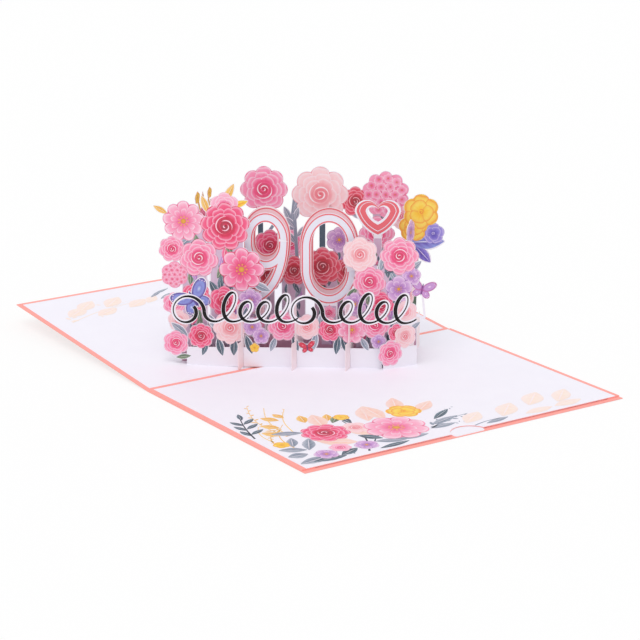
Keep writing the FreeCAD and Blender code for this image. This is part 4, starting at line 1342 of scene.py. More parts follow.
def back_wall() -> PrintedSheet:
    """Returns the back wall's print."""
    items = [
        Shadow(-45.6, 72.1),
        Foliage(-30.0, 10.0, -30.0, 62.0, 12.0),
        Foliage(-14.0, 10.0, -14.0, 86.0, 3.0),
        Foliage(-14.0, 60.0, -3.0, 76.0, 1.8, GREY),
        Foliage(20.0, 10.0, 20.0, 80.0, 3.4),
        Foliage(2.0, 60.0, 5.0, 86.0, 2.4, GREY),
        Foliage(2.0, 10.0, 2.0, 62.0, 9.0),
        Foliage(52.0, 10.0, 52.0, 84.0, 9.0),
        Frond(3.0, 72.0, 10.0, 3.8, 115.0, GREY),
        Frond(4.0, 78.0, 10.0, 3.8, 60.0, GREY),
        Frond(68.0, 72.0, 13.0, 5.0, -70.0),
        Frond(44.0, 74.0, 12.0, 5.0, 150.0, GREY),
        Frond(-22.0, 70.0, 13.0, 5.0, 50.0, GREY),
        Frond(-36.0, 70.0, 11.0, 4.6, 120.0, GREEN),
        Flower(3.0, 60.0, 8.0, 7, ROSE),
        Flower(56.0, 46.0, 10.0, 7, ROSE),
        Flower(-28.0, 44.0, 9.0, 7, ROSE),
        Flower(50.0, 66.0, 10.0, 8, ROSE),
        Flower(-30.0, 66.0, 10.0, 7, ROSE),
        Flower(63.0, 76.0, 7.6, 6, PALE),
        Flower(38.0, 84.0, 8.6, 7, RED),
        Flower(54.6, 88.0, 13.2, 10, PINK, Form.CLUSTER),
        Flower(18.8, 87.8, 15.8, 8, PALE),
        Flower(-12.0, 90.4, 13.2, 8, ROSE),
    ]
    return PrintedSheet("back_wall", sheet_plane(BACK_WALL_OFFSET), items)


def end_sheet() -> PrintedSheet:
    """Returns the print of the sheet at the right end."""
    start = Vector((END_SHEET_X, END_SHEET_Y + FOLD_SHIFT, SURFACE))
    items = [
        Frond(16.0, 20.0, 8.0, 3.2, 30.0, GREY),
        Flower(8.0, 20.0, 5.0, 5, CRIMSON),
        Flower(13.6, 17.2, 7.0, 6, PALE),
        Flower(4.6, 8.6, 7.6, 7, ROSE),
    ]
    return PrintedSheet("right_end_sheet", upright(start, -END_SHEET_ANGLE), items)


def end_rib() -> PrintedSheet:
    """Returns the print of the right end rib."""
    items = [
        Foliage(32.0, 20.0, 32.0, 66.0, 3.0),
        Frond(32.0, 60.0, 9.0, 3.4, 140.0, GREY),
        Frond(32.0, 40.0, 9.0, 3.4, 130.0),
        Flower(33.0, 34.0, 6.8, 6, PALE),
        Flower(31.0, 52.0, 7.6, 7, ROSE),
        Flower(32.0, 70.0, 7.2, 6, LILAC, Form.OPEN),
    ]
    return PrintedSheet("rib_5", rib_plane(END_RIB_STATION), items, "blush_paper")


def first_rib() -> PrintedSheet:
    """Returns the print of the left end rib."""
    items = [
        Foliage(29.0, 20.0, 29.0, 84.0, 3.0),
        Foliage(29.0, 70.0, 38.0, 90.0, 1.8, GOLD),
        Foliage(29.0, 74.0, 21.0, 91.0, 1.8, GOLD),
        Frond(29.0, 80.0, 13.0, 4.0, 93.0, GOLD),
        Frond(35.0, 83.0, 8.0, 3.0, 20.0, GOLD),
        Frond(30.0, 46.0, 11.0, 4.4, 30.0),
        Flower(21.0, 91.0, 3.4, 5, YELLOW, Form.OPEN),
        Flower(38.0, 90.0, 3.2, 5, YELLOW, Form.OPEN),
        Flower(26.5, 38.0, 8.4, 6, PALE),
        Flower(30.0, 57.0, 9.6, 7, ROSE),
        Flower(28.0, 76.0, 9.0, 8, CRIMSON),
    ]
    return PrintedSheet("rib_1", rib_plane(FIRST_RIB_STATION), items, "blush_paper")


def butterflies() -> list[PrintedSheet]:
    """Returns the prints of the three butterflies."""
    on_wall = sheet_plane(FRONT_WALL_OFFSET - SHEET)
    on_bouquet = sheet_plane(BOUQUET_OFFSET - SHEET)
    behind = sheet_plane(BOUQUET_OFFSET + SHEET)
    small = Wings(13.0, 11.4, 9.6, 8.0, RED, MARGIN_RED)
    purple = Wings(-48.6, 36.6, 23.0, 32.0, BLUE, MARGIN_VIOLET)
    lilac = Wings(74.8, 43.0, 15.0, -12.0, LILAC, MARGIN_LILAC)
    return [
        PrintedSheet("small_butterfly", on_wall, [small]),
        PrintedSheet("purple_butterfly", on_bouquet, [purple]),
        PrintedSheet("lilac_butterfly", behind, [lilac]),
    ]


def front_panel() -> PrintedSheet:
    """Returns the front panel's print: a spray of flowers along its front edge."""
    items = [
        Stalk(-95.0, -98.0, -84.0, -66.0, 1.0, TEAL.deep, 1.0),
        Stalk(-80.0, -104.0, -72.0, -54.0, 5.0, GOLD.light),
        Stalk(-78.0, -104.0, -66.0, -61.0, 4.0, GOLD.light),
        Stalk(-74.0, -102.0, -58.0, -68.0, 3.0, GOLD.light),
        Stalk(-86.0, -122.0, -72.0, -88.0, 5.0, GOLD.mid),
        Stalk(-92.0, -113.0, -78.0, -92.0, 3.0, GOLD.mid),
        Stalk(-90.0, -108.0, -84.0, -84.0, 3.0, GOLD.light),
        Stalk(-66.0, -143.0, -61.0, -118.0, 2.0, TEAL.mid, 0.9),
        Stalk(-78.0, -142.0, -66.0, -118.0, -3.0, TEAL.mid, 0.9),
        Stalk(-58.0, -144.0, -44.0, -100.0, -4.0, TEAL.deep, 1.1),
        Stalk(-52.0, -140.0, -34.0, -124.0, 2.0, TEAL.mid, 0.9),
        Stalk(-12.0, -134.0, 16.0, -126.0, 2.0, GREY.mid, 0.9),
        Stalk(8.0, -143.0, 26.0, -141.0, 1.0, GREY.mid, 0.9),
        Frond(-94.0, -94.0, 10.0, 4.0, 98.0),
        Frond(-91.5, -86.0, 10.0, 4.0, 106.0),
        Frond(-89.0, -79.0, 10.0, 4.0, 110.0),
        Frond(-93.6, -92.0, 11.0, 4.0, 22.0),
        Frond(-91.0, -84.0, 11.0, 4.0, 26.0),
        Frond(-88.4, -77.0, 11.0, 4.0, 30.0),
        Frond(-85.6, -71.0, 10.0, 3.6, 70.0),
        Frond(-85.0, -131.0, 11.5, 9.0, 172.0, GREY),
        Frond(-78.0, -139.0, 19.0, 9.0, 186.0, GREY),
        Frond(-82.0, -126.0, 15.0, 8.0, 150.0, GREY),
        Frond(-82.0, -127.0, 18.0, 8.0, 58.0, GREY),
        Frond(-70.0, -143.0, 20.0, 6.6, 176.0),
        Frond(-86.0, -119.0, 14.0, 7.0, 62.0, GREY),
        Frond(-70.0, -82.0, 11.0, 7.0, 125.0, GOLD),
        Frond(-76.0, -92.0, 11.0, 7.0, 125.0, GOLD),
        Frond(-81.0, -102.0, 12.0, 7.4, 125.0, GOLD),
        Frond(-61.0, -92.0, 12.0, 7.0, 72.0, GOLD),
        Frond(-66.0, -80.0, 9.0, 5.4, 100.0, GOLD),
        Frond(-50.0, -96.0, 11.0, 6.0, 60.0, GOLD),
        Frond(-57.0, -103.0, 21.0, 12.0, 74.0, PEACH),
        Frond(-33.0, -108.0, 24.0, 12.0, 64.0, PEACH),
        Frond(-24.0, -110.0, 24.0, 12.0, 86.0, PEACH),
        Frond(-12.0, -104.0, 23.0, 11.0, 62.0, PEACH),
        Frond(-4.0, -110.0, 20.0, 10.0, 34.0, PEACH),
        Frond(-72.0, -117.0, 22.0, 14.0, -38.0, PEACH),
        Frond(-50.0, -108.0, 24.0, 13.0, -60.0, PEACH),
        Frond(-60.0, -137.0, 14.0, 7.0, 200.0),
        Frond(-50.0, -122.0, 14.0, 7.0, -52.0),
        Frond(-48.0, -134.0, 17.0, 6.6, -24.0, GREY),
        Frond(-38.0, -137.0, 20.0, 7.6, -8.0, GREY),
        Frond(-52.0, -144.0, 20.0, 5.0, 4.0),
        Frond(-70.0, -104.0, 17.0, 7.4, 156.0, GREY),
        Frond(-50.0, -100.0, 14.0, 6.0, 42.0, GREEN),
        Frond(-42.0, -106.0, 13.0, 5.0, 84.0),
        Frond(-14.0, -134.0, 17.0, 6.0, 0.0, GREY),
        Frond(-10.0, -130.0, 20.0, 6.4, 14.0, GREY),
        Frond(-4.0, -124.0, 19.0, 5.4, 30.0),
        Frond(14.0, -144.0, 17.0, 5.0, 8.0, GREY),
        Frond(6.0, -138.0, 20.0, 12.0, 34.0, BEIGE),
        Frond(28.0, -140.0, 23.0, 14.0, 42.0, BEIGE),
        Frond(40.0, -143.0, 20.0, 8.0, 4.0, BEIGE),
        Frond(50.0, -134.0, 23.0, 14.0, 42.0, BEIGE),
        Frond(66.0, -138.0, 23.0, 12.0, 42.0, BEIGE),
        Frond(60.0, -142.0, 20.0, 9.0, 4.0, BEIGE),
        Flower(-78.0, -136.0, 6.6, 5, LILAC, Form.OPEN),
        Flower(-89.0, -113.0, 4.6, 5, YELLOW, Form.OPEN),
        Flower(-54.0, -136.0, 6.6, 5, LILAC, Form.OPEN),
        Flower(-67.0, -132.0, 6.0, 6, PINK),
        Flower(-41.0, -95.0, 4.6, 5, YELLOW, Form.RUFFLED),
        Flower(-9.0, -105.0, 9.6, 6, YELLOW, Form.RUFFLED),
        Flower(-44.0, -112.0, 8.0, 7, PALE),
        Flower(-27.0, -123.5, 17.0, 8, PINK, Form.OPEN),
        Flower(-61.0, -110.0, 13.0, 9, CRIMSON),
    ]
    return PrintedSheet("front_liner", front_panel_plane(), items, "liner_paper", SPRIG_LEVELS)


def back_panel() -> PrintedSheet:
    """Returns the back panel's print: faint leaves along its back edge."""
    items = [
        Stalk(-86.0, 108.0, -34.0, 122.0, 3.0, BEIGE.deep),
        Stalk(-30.0, 118.0, -8.0, 134.0, 2.0, GREY.light),
        Frond(-84.0, 116.0, 20.0, 12.0, 34.0, BEIGE),
        Frond(-74.0, 122.0, 20.0, 12.0, 40.0, BEIGE),
        Frond(-68.0, 111.0, 18.0, 11.0, 24.0, BEIGE),
        Frond(-57.0, 121.0, 20.0, 12.0, 40.0, BEIGE),
        Frond(-45.0, 115.0, 18.0, 11.0, 30.0, BEIGE),
        Frond(-32.0, 117.0, 14.0, 8.0, 40.0, BEIGE),
        Frond(-26.0, 124.0, 14.0, 3.0, 32.0, GREY),
        Frond(-22.0, 128.0, 15.0, 3.0, 22.0, GREY),
        Frond(-22.0, 119.0, 13.0, 3.0, 34.0, GREY),
    ]
    return PrintedSheet("back_liner", back_panel_plane(), items, "liner_paper", SPRIG_LEVELS)


@dataclass
class Numerals:
    """The outlines printed on the two numeral sheets, whose sizes are those of the cut figures.

    Attributes:
        top: height of the figures' tops.
        bottom: height of the zero's foot.
        stroke: width of the figures' strokes.
        roundness: height of an oval's round end, over half its width.
        line_inset: how far the coral line lies inside the cut edges.
        band_inset: how far the band inside it does.
    """

    top: float = 83.8
    bottom: float = 33.0
    stroke: float = 5.4
    roundness: float = 1.3
    zero_center: float = 24.4
    zero_width: float = 30.2
    nine_center: float = -9.8
    nine_width: float = 24.6
    bowl_height: float = 32.0
    tail_reach: float = 18.0
    tail_drop: float = 32.0
    line_inset: float = 0.3
    band_inset: float = 1.05

    def oval(self, across: float, bottom: float, width: float, outset: float, share: float) -> Point:
        """Returns the point of a tall oval at a share of its way round."""
        half = width / 2.0 + outset
        end = half * self.roundness
        angle = math.tau * share
        middle = self.top + outset - end if math.sin(angle) >= 0.0 else bottom - outset + end
        return (across + half * math.cos(angle), middle + end * math.sin(angle))

    def ring(
        self, sheet: Print, which: tuple[float, float, float], inset: float, ink: Ink, out: float
    ) -> None:
        """Adds a figure's ring.

        Args:
            sheet: the print.
            which: the oval's middle, foot and width.
            inset: how far the field stays inside the cut edges.
            ink: its ink.
            out: how far the sheet's figures are cut larger.
        """
        across, bottom, width = which

        def path(inner: float, over: float) -> Point:
            outset = (out - inset) + (inset * 2.0 - self.stroke - 2.0 * out) * inner
            return self.oval(across, bottom, width, outset, over)

        sheet.patch(path, lambda inner, over: ink, 1, EDGE_STEPS)

    def tail(self, sheet: Print, inset: float, ink: Ink, out: float) -> None:
        """Adds the nine's tail with its round end, as `ring` adds a ring."""
        start = self.nine_center + (self.nine_width - self.stroke) / 2.0
        level = self.top - self.bowl_height / 2.0
        half = self.stroke / 2.0 + out - inset

        def path(side: float, over: float) -> Point:
            angle = math.pi / 2.0 * over
            x = start - self.tail_reach + self.tail_reach * math.cos(angle)
            y = level - self.tail_drop * math.sin(angle)
            normal = Vector((self.tail_drop * math.cos(angle), -self.tail_reach * math.sin(angle)))
            shift = normal.normalized() * half * (2.0 * side - 1.0)
            return (x + shift.x, y + shift.y)

        sheet.patch(path, lambda side, over: ink, 1, TAIL_STEPS)
        end = (start - self.tail_reach, level - self.tail_drop)
        sheet.fan(
            lambda reach, over: polar(end[0], end[1], reach * half, math.tau * over),
            lambda reach, over: ink,
            2,
            28,
        )

    def build(self, name: str, offset: float, out: float, inks: Inks, slot: str, band: Ink) -> None:
        """Lays the figures' outlines and bands on a numeral sheet.

        Args:
            name: the sheet's node.
            offset: how far the sheet lies behind the front wall.
            out: how far its figures are cut larger.
            inks: the finishes.
            slot: the sheet's slot; not used.
            band: the ink inside the outline.
        """
        sheet = Print(sheet_plane(offset), 0)
        figures = (
            (self.nine_center, self.top - self.bowl_height, self.nine_width),
            (self.zero_center, self.bottom, self.zero_width),
        )
        for inset, ink in ((self.line_inset, CORAL_LINE), (self.band_inset, band)):
            for figure in figures:
                self.ring(sheet, figure, inset, ink, out)
            sheet.level += 1
            self.tail(sheet, inset, ink, out)
            sheet.level += 1
        carried(sheet.build(f"{name}_print", inks.plain))


@dataclass
class Plaque:
    """The band printed on the heart plaque.

    Attributes:
        across: the heart's place along its sheet.
        up: the height of its widest place.
        width: its width, which the shares below are of.
        point: how far its point hangs down.
        side: where its sides' arcs pass, from its middle.
        down: how low they do.
        notch: how high the notch between its lobes lies.
        band: the coral band's outer and inner edge, as shares of the whole heart.
        line: the pale line's edges.
    """

    across: float = 50.6
    up: float = 84.0
    width: float = 25.0
    point: float = 0.56
    side: float = 0.34
    down: float = 0.3
    notch: float = 0.08
    band: tuple[float, float] = (0.92, 0.53)
    line: tuple[float, float] = (0.8, 0.77)

    def edge(self, size: float, share: float) -> Point:
        """Returns the point of a heart of a given size, a share of the way round it."""
        corners = ((-0.5, 0.0), (0.0, -self.point), (0.5, 0.0), (0.0, self.notch), (-0.5, 0.0))
        middles = ((-self.side, -self.down), (self.side, -self.down), (0.25, 0.25), (-0.25, 0.25))
        place = share * len(middles)
        number = min(int(place), len(middles) - 1)
        spot = bend(corners[number], middles[number], corners[number + 1], place - number)
        return (self.across + self.width * size * spot[0], self.up + self.width * size * spot[1])

    def build(self, inks: Inks) -> None:
        """Lays a broad coral band on the heart, with a fine pale line in it."""
        sheet = Print(sheet_plane(PLAQUE_OFFSET), 0)
        for (outer, inner), ink in ((self.band, CORAL_LINE), (self.line, BAND_WHITE)):
            sheet.patch(
                lambda out, over, outer=outer, inner=inner: self.edge(inner + (outer - inner) * out, over),
                lambda out, over, ink=ink: ink,
                1,
                EDGE_STEPS,
            )
            sheet.level += 1
        carried(sheet.build("heart_plaque_print", inks.plain))


@dataclass(frozen=True)
class Chain:
    """One pen chain: where its loops start, and how tall each of them is."""

    start: float
    tallness: tuple[float, ...]


@dataclass
class Flourish:
    """The black pen stroke on the flourish sheet.

    Attributes:
        up: height of its middle line.
        slant: how far it leans, for each unit of height.
        pitch: from one loop to the next.
        swing: how far a loop swings sideways.
        height: half a plain loop's height.
        first: the turn where a chain's first loop starts.
        last: the turns that a chain runs on after its last loop.
        outer: a curl's widest reach.
        inner: the reach where a curl starts.
        turns: the turns of a curl.
        thin: half the stroke's width where it runs up.
        thick: half its width where it runs down.
        chains: the two chains of loops.
    """

    up: float = 33.5
    slant: float = 0.3
    pitch: float = 9.6
    swing: float = 5.0
    height: float = 5.6
    first: float = 0.25
    last: float = 0.4
    outer: float = 9.4
    inner: float = 4.6
    turns: float = 1.1
    thin: float = 0.3
    thick: float = 1.0
    chains: tuple[Chain, ...] = (
        Chain(-42.0, (0.9, 0.0, 0.0, 0.7)),
        Chain(21.5, (0.1, 0.9, 0.1, 0.8)),
    )

    def loops(self, chain: Chain, turn: float) -> Point:
        """Returns a point of a chain of loops."""
        loop = math.floor(turn - self.first)
        angle = math.tau * (turn - self.first)
        extra = chain.tallness[loop] if 0 <= loop < len(chain.tallness) else 0.0
        rise = self.height * (extra * (1.0 - math.cos(angle)) / 2.0 - math.cos(angle))
        swing = self.swing * (1.0 + math.sin(angle))
        return (chain.start + self.pitch * turn + swing + self.slant * rise, self.up + rise)

    def curl(self, chain: Chain, turn: float) -> Point:
        """Returns a point of the curl that winds out to a chain's start."""
        reach = self.inner + (self.outer - self.inner) * turn / self.turns
        return polar(chain.start - self.outer, self.up, reach, math.tau * (self.turns - turn))

    def stroke(self, sheet: Print, path: Callable[[float], Point], end: float) -> None:
        """Adds a pen stroke, thick where it runs down and thin where it runs up.

        Args:
            sheet: the print.
            path: the stroke's line.
            end: the number of turns where it stops.
        """

        def place(side: float, over: float) -> Point:
            turn = over * end
            before = Vector(path(turn - PEN_NUDGE))
            after = Vector(path(turn + PEN_NUDGE))
            along = (after - before).normalized()
            down = 0.5 - 0.5 * along.y
            half = self.thin + (self.thick - self.thin) * down**1.4
            shift = Vector((-along.y, along.x)) * half * (2.0 * side - 1.0)
            spot = path(turn)
            return (spot[0] + shift.x, spot[1] + shift.y)

        sheet.patch(place, lambda side, over: PEN_BLACK, 2, int(end * PEN_STEPS))
        sheet.level += 1

    def build(self, inks: Inks) -> None:
        """Lays the pen strokes on the flourish sheet."""
        sheet = Print(sheet_plane(FLOURISH_OFFSET), 0)
        for chain in self.chains:
            end = len(chain.tallness) + self.last
            self.stroke(sheet, lambda turn, chain=chain: self.loops(chain, turn), end)
            self.stroke(sheet, lambda turn, chain=chain: self.curl(chain, turn), self.turns)
        carried(sheet.build("flourish_ink", inks.plain))


@dataclass(frozen=True)
class Sprig:
    """Fine leaflets along a few curved stalks.

    Attributes:
        name: the piece's name.
        stalks: each stalk's points.
        palette: the leaflets' inks.
        count: leaflets on each stalk.
        size: a leaflet's length.
        seed: the seed of the small differences.
        level: the level of ink that it lies at.
    """

    name: str
    stalks: Sequence[Sequence[Point]]
    palette: Palette
    count: int
    size: float
    seed: int
    level: int = 0


class Sprigs:
    """Makes sprigs with Geometry Nodes and lays them on the panels."""

    def __init__(self, material: bpy.types.Material) -> None:
        self.material = material
        self.tree = self.make_tree()

    def make_tree(self) -> bpy.types.NodeTree:
        """Returns the node tree: leaflets to both sides of a stalk, smaller towards its tip."""
        group = bpy.data.node_groups.new("sprig", "GeometryNodeTree")
        for name, kind, way in (
            ("Stalk", "NodeSocketGeometry", "INPUT"),
            ("Leaflet", "NodeSocketObject", "INPUT"),
            ("Leaflets", "NodeSocketInt", "INPUT"),
            ("Size", "NodeSocketFloat", "INPUT"),
            ("Spread", "NodeSocketFloat", "INPUT"),
            ("Taper", "NodeSocketFloat", "INPUT"),
            ("Seed", "NodeSocketInt", "INPUT"),
            ("Ink", "NodeSocketMaterial", "INPUT"),
            ("Geometry", "NodeSocketGeometry", "OUTPUT"),
        ):
            group.interface.new_socket(name, in_out=way, socket_type=kind)
        nodes = Nodes(group)
        source = nodes.node("NodeGroupInput").outputs
        count, size, spread, taper = (
            Value(nodes, source[name]) for name in ("Leaflets", "Size", "Spread", "Taper")
        )
        curve = nodes.node("GeometryNodeMeshToCurve", None, {"Mesh": source["Stalk"]})
        points = nodes.node(
            "GeometryNodeCurveToPoints",
            {"mode": "COUNT"},
            {"Curve": curve.outputs["Curve"], "Count": count},
        ).outputs
        tangent = nodes.node("ShaderNodeSeparateXYZ", None, {0: points["Tangent"]}).outputs
        heading = nodes.math("ARCTAN2", Value(nodes, tangent["Y"]), Value(nodes, tangent["X"]))
        index = Value(nodes, nodes.node("GeometryNodeInputIndex").outputs["Index"])
        side = index % 2.0 * 2.0 - 1.0
        random_value = nodes.node(
            "FunctionNodeRandomValue",
            {"data_type": "FLOAT"},
            {2: SMALLEST_LEAFLET, 3: LARGEST_LEAFLET, "Seed": source["Seed"]},
        )
        varied = Value(nodes, random_value.outputs[1])
        turn = nodes.node("ShaderNodeCombineXYZ", None, {"Z": heading + side * spread * varied})
        leaflet = nodes.node("GeometryNodeObjectInfo", None, {"Object": source["Leaflet"]})
        placed = nodes.node(
            "GeometryNodeInstanceOnPoints",
            None,
            {
                "Points": points["Points"],
                "Instance": leaflet.outputs["Geometry"],
                "Rotation": turn.outputs["Vector"],
                "Scale": (1.0 - index / count * taper) * size * varied,
            },
        )
        real = nodes.node("GeometryNodeRealizeInstances", None, {"Geometry": placed.outputs["Instances"]})
        inked = nodes.node(
            "GeometryNodeSetMaterial",
            None,
            {"Geometry": real.outputs["Geometry"], "Material": source["Ink"]},
        )
        nodes.node("NodeGroupOutput", None, {"Geometry": inked.outputs["Geometry"]})
        return group

    def leaflet(self, palette: Palette) -> bpy.types.Object:
        """Returns a leaflet of unit length, drawn flat in millimetres."""
        flat = Plane(
            Vector((0.0, 0.0, 0.0)),
            Vector((1.0 / MM, 0.0, 0.0)),
            Vector((0.0, 1.0 / MM, 0.0)),
            Vector((0.0, 0.0, 1.0)),
        )
        sheet = Print(flat, 0)
        sheet.patch(
            lambda out, over: (over, (out - 0.5) * 0.42 * math.sin(math.pi * (0.02 + 0.96 * over))),
            lambda out, over: palette.tint(0.2 + 0.5 * over),
            2,
            6,
        )
        return sheet.build("leaflet", self.material)

    def grow(self, sprig: Sprig) -> bpy.types.Mesh:
        """Returns a sprig as one plain mesh in millimetres, flat on the drawing."""
        corners: list[tuple[float, float, float]] = []
        edges: list[tuple[int, int]] = []
        for stalk in sprig.stalks:
            first = len(corners)
            corners += [(across, up, 0.0) for across, up in stalk]
            edges += [(first + step, first + step + 1) for step in range(len(stalk) - 1)]
        mesh = bpy.data.meshes.new("stalks")
        mesh.from_pydata(corners, edges, [])
        host = bpy.data.objects.new("stalks", mesh)
        bpy.context.scene.collection.objects.link(host)
        leaflet = self.leaflet(sprig.palette)
        modifier = host.modifiers.new("sprig", "NODES")
        modifier.node_group = self.tree
        values = {
            "Leaflet": leaflet,
            "Leaflets": sprig.count,
            "Size": sprig.size,
            "Spread": LEAFLET_SPREAD,
            "Taper": LEAFLET_TAPER,
            "Seed": sprig.seed,
            "Ink": self.material,
        }
        for item in self.tree.interface.items_tree:
            if item.in_out == "INPUT" and item.name in values:
                modifier[item.identifier] = values[item.name]
        bpy.context.view_layer.update()
        evaluated = host.evaluated_get(bpy.context.evaluated_depsgraph_get())
        made = bpy.data.meshes.new_from_object(evaluated)
        host.modifiers.remove(modifier)
        bpy.data.objects.remove(host)
        bpy.data.objects.remove(leaflet)
        return made

    def lay(self, sprig: Sprig, plane: Plane) -> None:
        """Lays a sprig on a panel's printed face and lets it ride on the card."""
        mesh = self.grow(sprig)
        for vertex in mesh.vertices:
            vertex.co = plane.place(vertex.co.x, vertex.co.y, INK_LIFT + INK_STEP * sprig.level)
        mesh.update()
        made = bpy.data.objects.new(sprig.name, mesh)
        bpy.context.scene.collection.objects.link(made)
        carried(made)


def arc(start: Point, end: Point, bow: float, steps: int = 12) -> list[Point]:
    """Returns a bowed line between two points.

    Args:
        start: its start.
        end: its end.
        bow: how far its middle stands off to the left.
        steps: its number of straight parts.

    Returns:
        Its points.
    """
    run = Vector(end) - Vector(start)
    side = Vector((-run.y, run.x)).normalized()
    line = []
    for step in range(steps + 1):
        share = step / steps
        spot = Vector(start) + run * share + side * bow * math.sin(math.pi * share)
        line.append((spot.x, spot.y))
    return line


def bend(start: Point, middle: Point, end: Point, share: float) -> Point:
    """Returns the point at a share of the way along the round arc through three points."""
    near = (middle[0] - start[0], middle[1] - start[1])
    far = (end[0] - start[0], end[1] - start[1])
    cross = 2.0 * (near[0] * far[1] - near[1] * far[0])
    near_square = near[0] ** 2 + near[1] ** 2
    far_square = far[0] ** 2 + far[1] ** 2
    center = (
        start[0] + (far[1] * near_square - near[1] * far_square) / cross,
        start[1] + (near[0] * far_square - far[0] * near_square) / cross,
    )
    first = math.atan2(start[1] - center[1], start[0] - center[0])
    last = math.atan2(end[1] - center[1], end[0] - center[0])
    sweep = (last - first) % math.tau
    if cross < 0.0:
        sweep -= math.tau
    reach = math.hypot(start[0] - center[0], start[1] - center[1])
    return polar(center[0], center[1], reach, first + sweep * share)


class Card:
    """The whole card: papers, prints and sprigs."""

    def __init__(self, frame: dict[str, Any]) -> None:
        self.frame = frame
        self.inks = Inks()

    def dress_papers(self) -> None:
        """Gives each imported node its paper."""
        for part in self.frame["record"]["subparts"]:
            material = self.inks.papers[part["material_slot"]]
            mesh = self.frame["nodes"][part["node"]].data
            mesh.materials.clear()
            mesh.materials.append(material)

    def print_sheets(self) -> None:
        """Prints every sheet, rib, butterfly and panel."""
        sheets = [
            front_wall(),
            left_bouquet(),
            right_bouquet(),
            mid_flowers(),
            iris_spray(),
            back_wall(),
            end_sheet(),
            end_rib(),
            first_rib(),
            front_panel(),
            back_panel(),
            *posts(),
            *butterflies(),
        ]
        for seed, sheet in enumerate(sheets, start=1):
            sheet.build(self.inks, seed)

    def print_outlines(self) -> None:
        """Prints the figures, the plaque and the flourish."""
        numerals = Numerals()
        front, back = NUMERAL_FRONT_OFFSET, NUMERAL_BACK_OFFSET
        numerals.build("numerals_front", front, 0.0, self.inks, "sheet_paper", BAND_WHITE)
        numerals.build("numerals_back", back, NUMERAL_OUTSET, self.inks, "blush_paper", BAND_BLUSH)
        Plaque().build(self.inks)
        Flourish().build(self.inks)

    def grow_sprigs(self) -> None:
        """Lays the fine sprigs on the panels."""
        sprigs = Sprigs(self.inks.watercolour)
        front = front_panel_plane()
        gold = [
            arc((-80.0, -104.0), (-72.0, -54.0), 5.0),
            arc((-78.0, -104.0), (-66.0, -61.0), 4.0),
            arc((-74.0, -102.0), (-58.0, -68.0), 3.0),
            arc((-92.0, -113.0), (-78.0, -92.0), 3.0),
        ]
        sprigs.lay(Sprig("front_gold_sprigs", gold, GOLD, count=15, size=3.6, seed=3), front)
        side = [
            arc((-12.0, -132.0), (16.0, -128.0), 2.0),
            arc((-10.0, -134.0), (14.0, -136.0), 1.0),
            arc((-8.0, -122.0), (16.0, -114.0), 2.0),
        ]
        sprigs.lay(Sprig("front_side_sprigs", side, GREY, count=11, size=5.4, seed=6, level=4), front)
        faint = [
            arc((-86.0, 110.0), (-60.0, 128.0), 4.0),
            arc((-66.0, 108.0), (-36.0, 126.0), 4.0),
        ]
        back = back_panel_plane()
        sprigs.lay(Sprig("back_faint_sprigs", faint, BEIGE, count=13, size=5.0, seed=7), back)


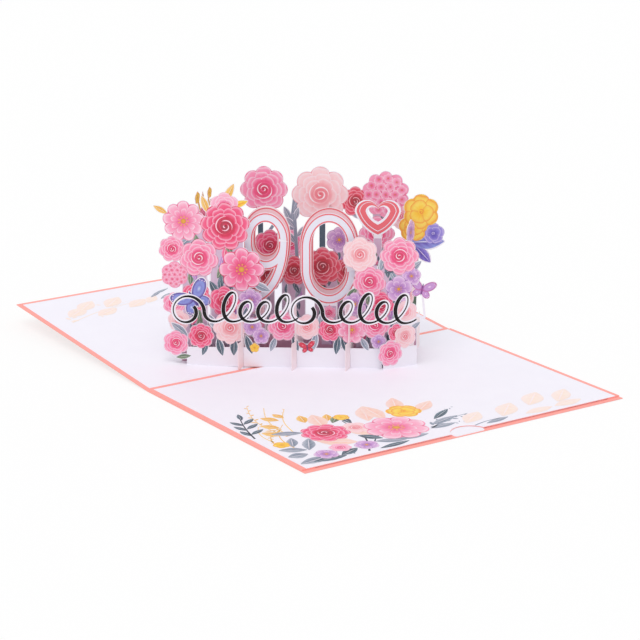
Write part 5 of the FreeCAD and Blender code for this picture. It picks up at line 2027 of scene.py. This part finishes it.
@dataclass
class Studio:
    """The floor, the light and the camera, in metres and radians.

    Attributes:
        floor_half: half the floor's side.
        floor_drop: how far the floor lies under the card.
        floor_white: how pale the floor is.
        floor_glow: how much of it shows as plain white, the rest taking the card's shadow.
        sun_strength: the lamp's strength.
        sun_spread: the angle that the lamp spans, which softens the shadow.
        sun_turn: the lamp's turn about each axis.
        world_strength: the light from all round.
        camera_place: where the camera stands.
        yaw: how far it looks to the right of the direction from the front panel to the back.
        pitch: how far it looks down.
        lens: its focal length in millimetres.
    """

    floor_half: float = 6.0
    floor_drop: float = 0.0002
    floor_white: float = 0.98
    floor_glow: float = 0.76
    sun_strength: float = 1.0
    sun_spread: float = math.radians(40.0)
    sun_turn: tuple[float, float, float] = (
        math.radians(24.0),
        math.radians(-14.0),
        math.radians(-20.0),
    )
    world_strength: float = 0.72
    camera_place: tuple[float, float, float] = (-0.68215, -1.02219, 0.39105)
    yaw: float = math.radians(34.11)
    pitch: float = math.radians(16.69)
    lens: float = 131.66

    def build(self) -> None:
        """Makes the whole studio."""
        self.floor()
        self.world()
        self.lamps()
        self.camera()
        bpy.context.scene.view_settings.view_transform = "Standard"

    def floor(self) -> None:
        """Makes the plain white floor, which shows a soft shadow."""
        half = self.floor_half
        mesh = bpy.data.meshes.new("floor")
        corners = [(-half, -half), (half, -half), (half, half), (-half, half)]
        mesh.from_pydata([(x, y, -self.floor_drop) for x, y in corners], [], [(0, 1, 2, 3)])
        shader = Shader("studio_floor")
        white = (self.floor_white, self.floor_white, self.floor_white, 1.0)
        surface = shader.node("ShaderNodeBsdfPrincipled", None, {"Base Color": white, "Roughness": 0.9})
        glow = shader.node("ShaderNodeEmission", None, {"Strength": 1.0})
        mixed = shader.node(
            "ShaderNodeMixShader",
            None,
            {0: shader.seen() * self.floor_glow, 1: surface.outputs["BSDF"], 2: glow.outputs["Emission"]},
        )
        shader.node("ShaderNodeOutputMaterial", None, {"Surface": mixed.outputs["Shader"]})
        mesh.materials.append(shader.material)
        made = bpy.data.objects.new("floor", mesh)
        bpy.context.scene.collection.objects.link(made)

    def world(self) -> None:
        """Makes the even light from all round, which the camera sees as white."""
        world = bpy.data.worlds.new("studio")
        bpy.context.scene.world = world
        shader = Shader("studio", world)
        strength = shader.seen() * (1.0 - self.world_strength) + self.world_strength
        light = shader.node(
            "ShaderNodeBackground", None, {"Color": (1.0, 1.0, 1.0, 1.0), "Strength": strength}
        )
        shader.node("ShaderNodeOutputWorld", None, {"Surface": light.outputs["Background"]})

    def lamps(self) -> None:
        """Makes one large soft lamp above and to the left of the camera."""
        data = bpy.data.lights.new("soft_key", "SUN")
        data.energy = self.sun_strength
        data.angle = self.sun_spread
        lamp = bpy.data.objects.new("soft_key", data)
        lamp.rotation_euler = self.sun_turn
        bpy.context.scene.collection.objects.link(lamp)

    def camera(self) -> None:
        """Makes the camera at the photograph's viewing angle."""
        data = bpy.data.cameras.new("camera")
        data.lens = self.lens
        data.clip_start = 0.05
        made = bpy.data.objects.new("camera", data)
        made.location = self.camera_place
        made.rotation_euler = (math.pi / 2.0 - self.pitch, 0.0, -self.yaw)
        bpy.context.scene.collection.objects.link(made)
        bpy.context.scene.camera = made


def main() -> None:
    """Builds the card's looks."""
    logging.basicConfig(level=logging.INFO, format="%(message)s")
    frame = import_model()
    Studio().build()
    card = Card(frame)
    card.dress_papers()
    card.print_sheets()
    card.print_outlines()
    card.grow_sprigs()


if __name__ == "__main__":
    main()
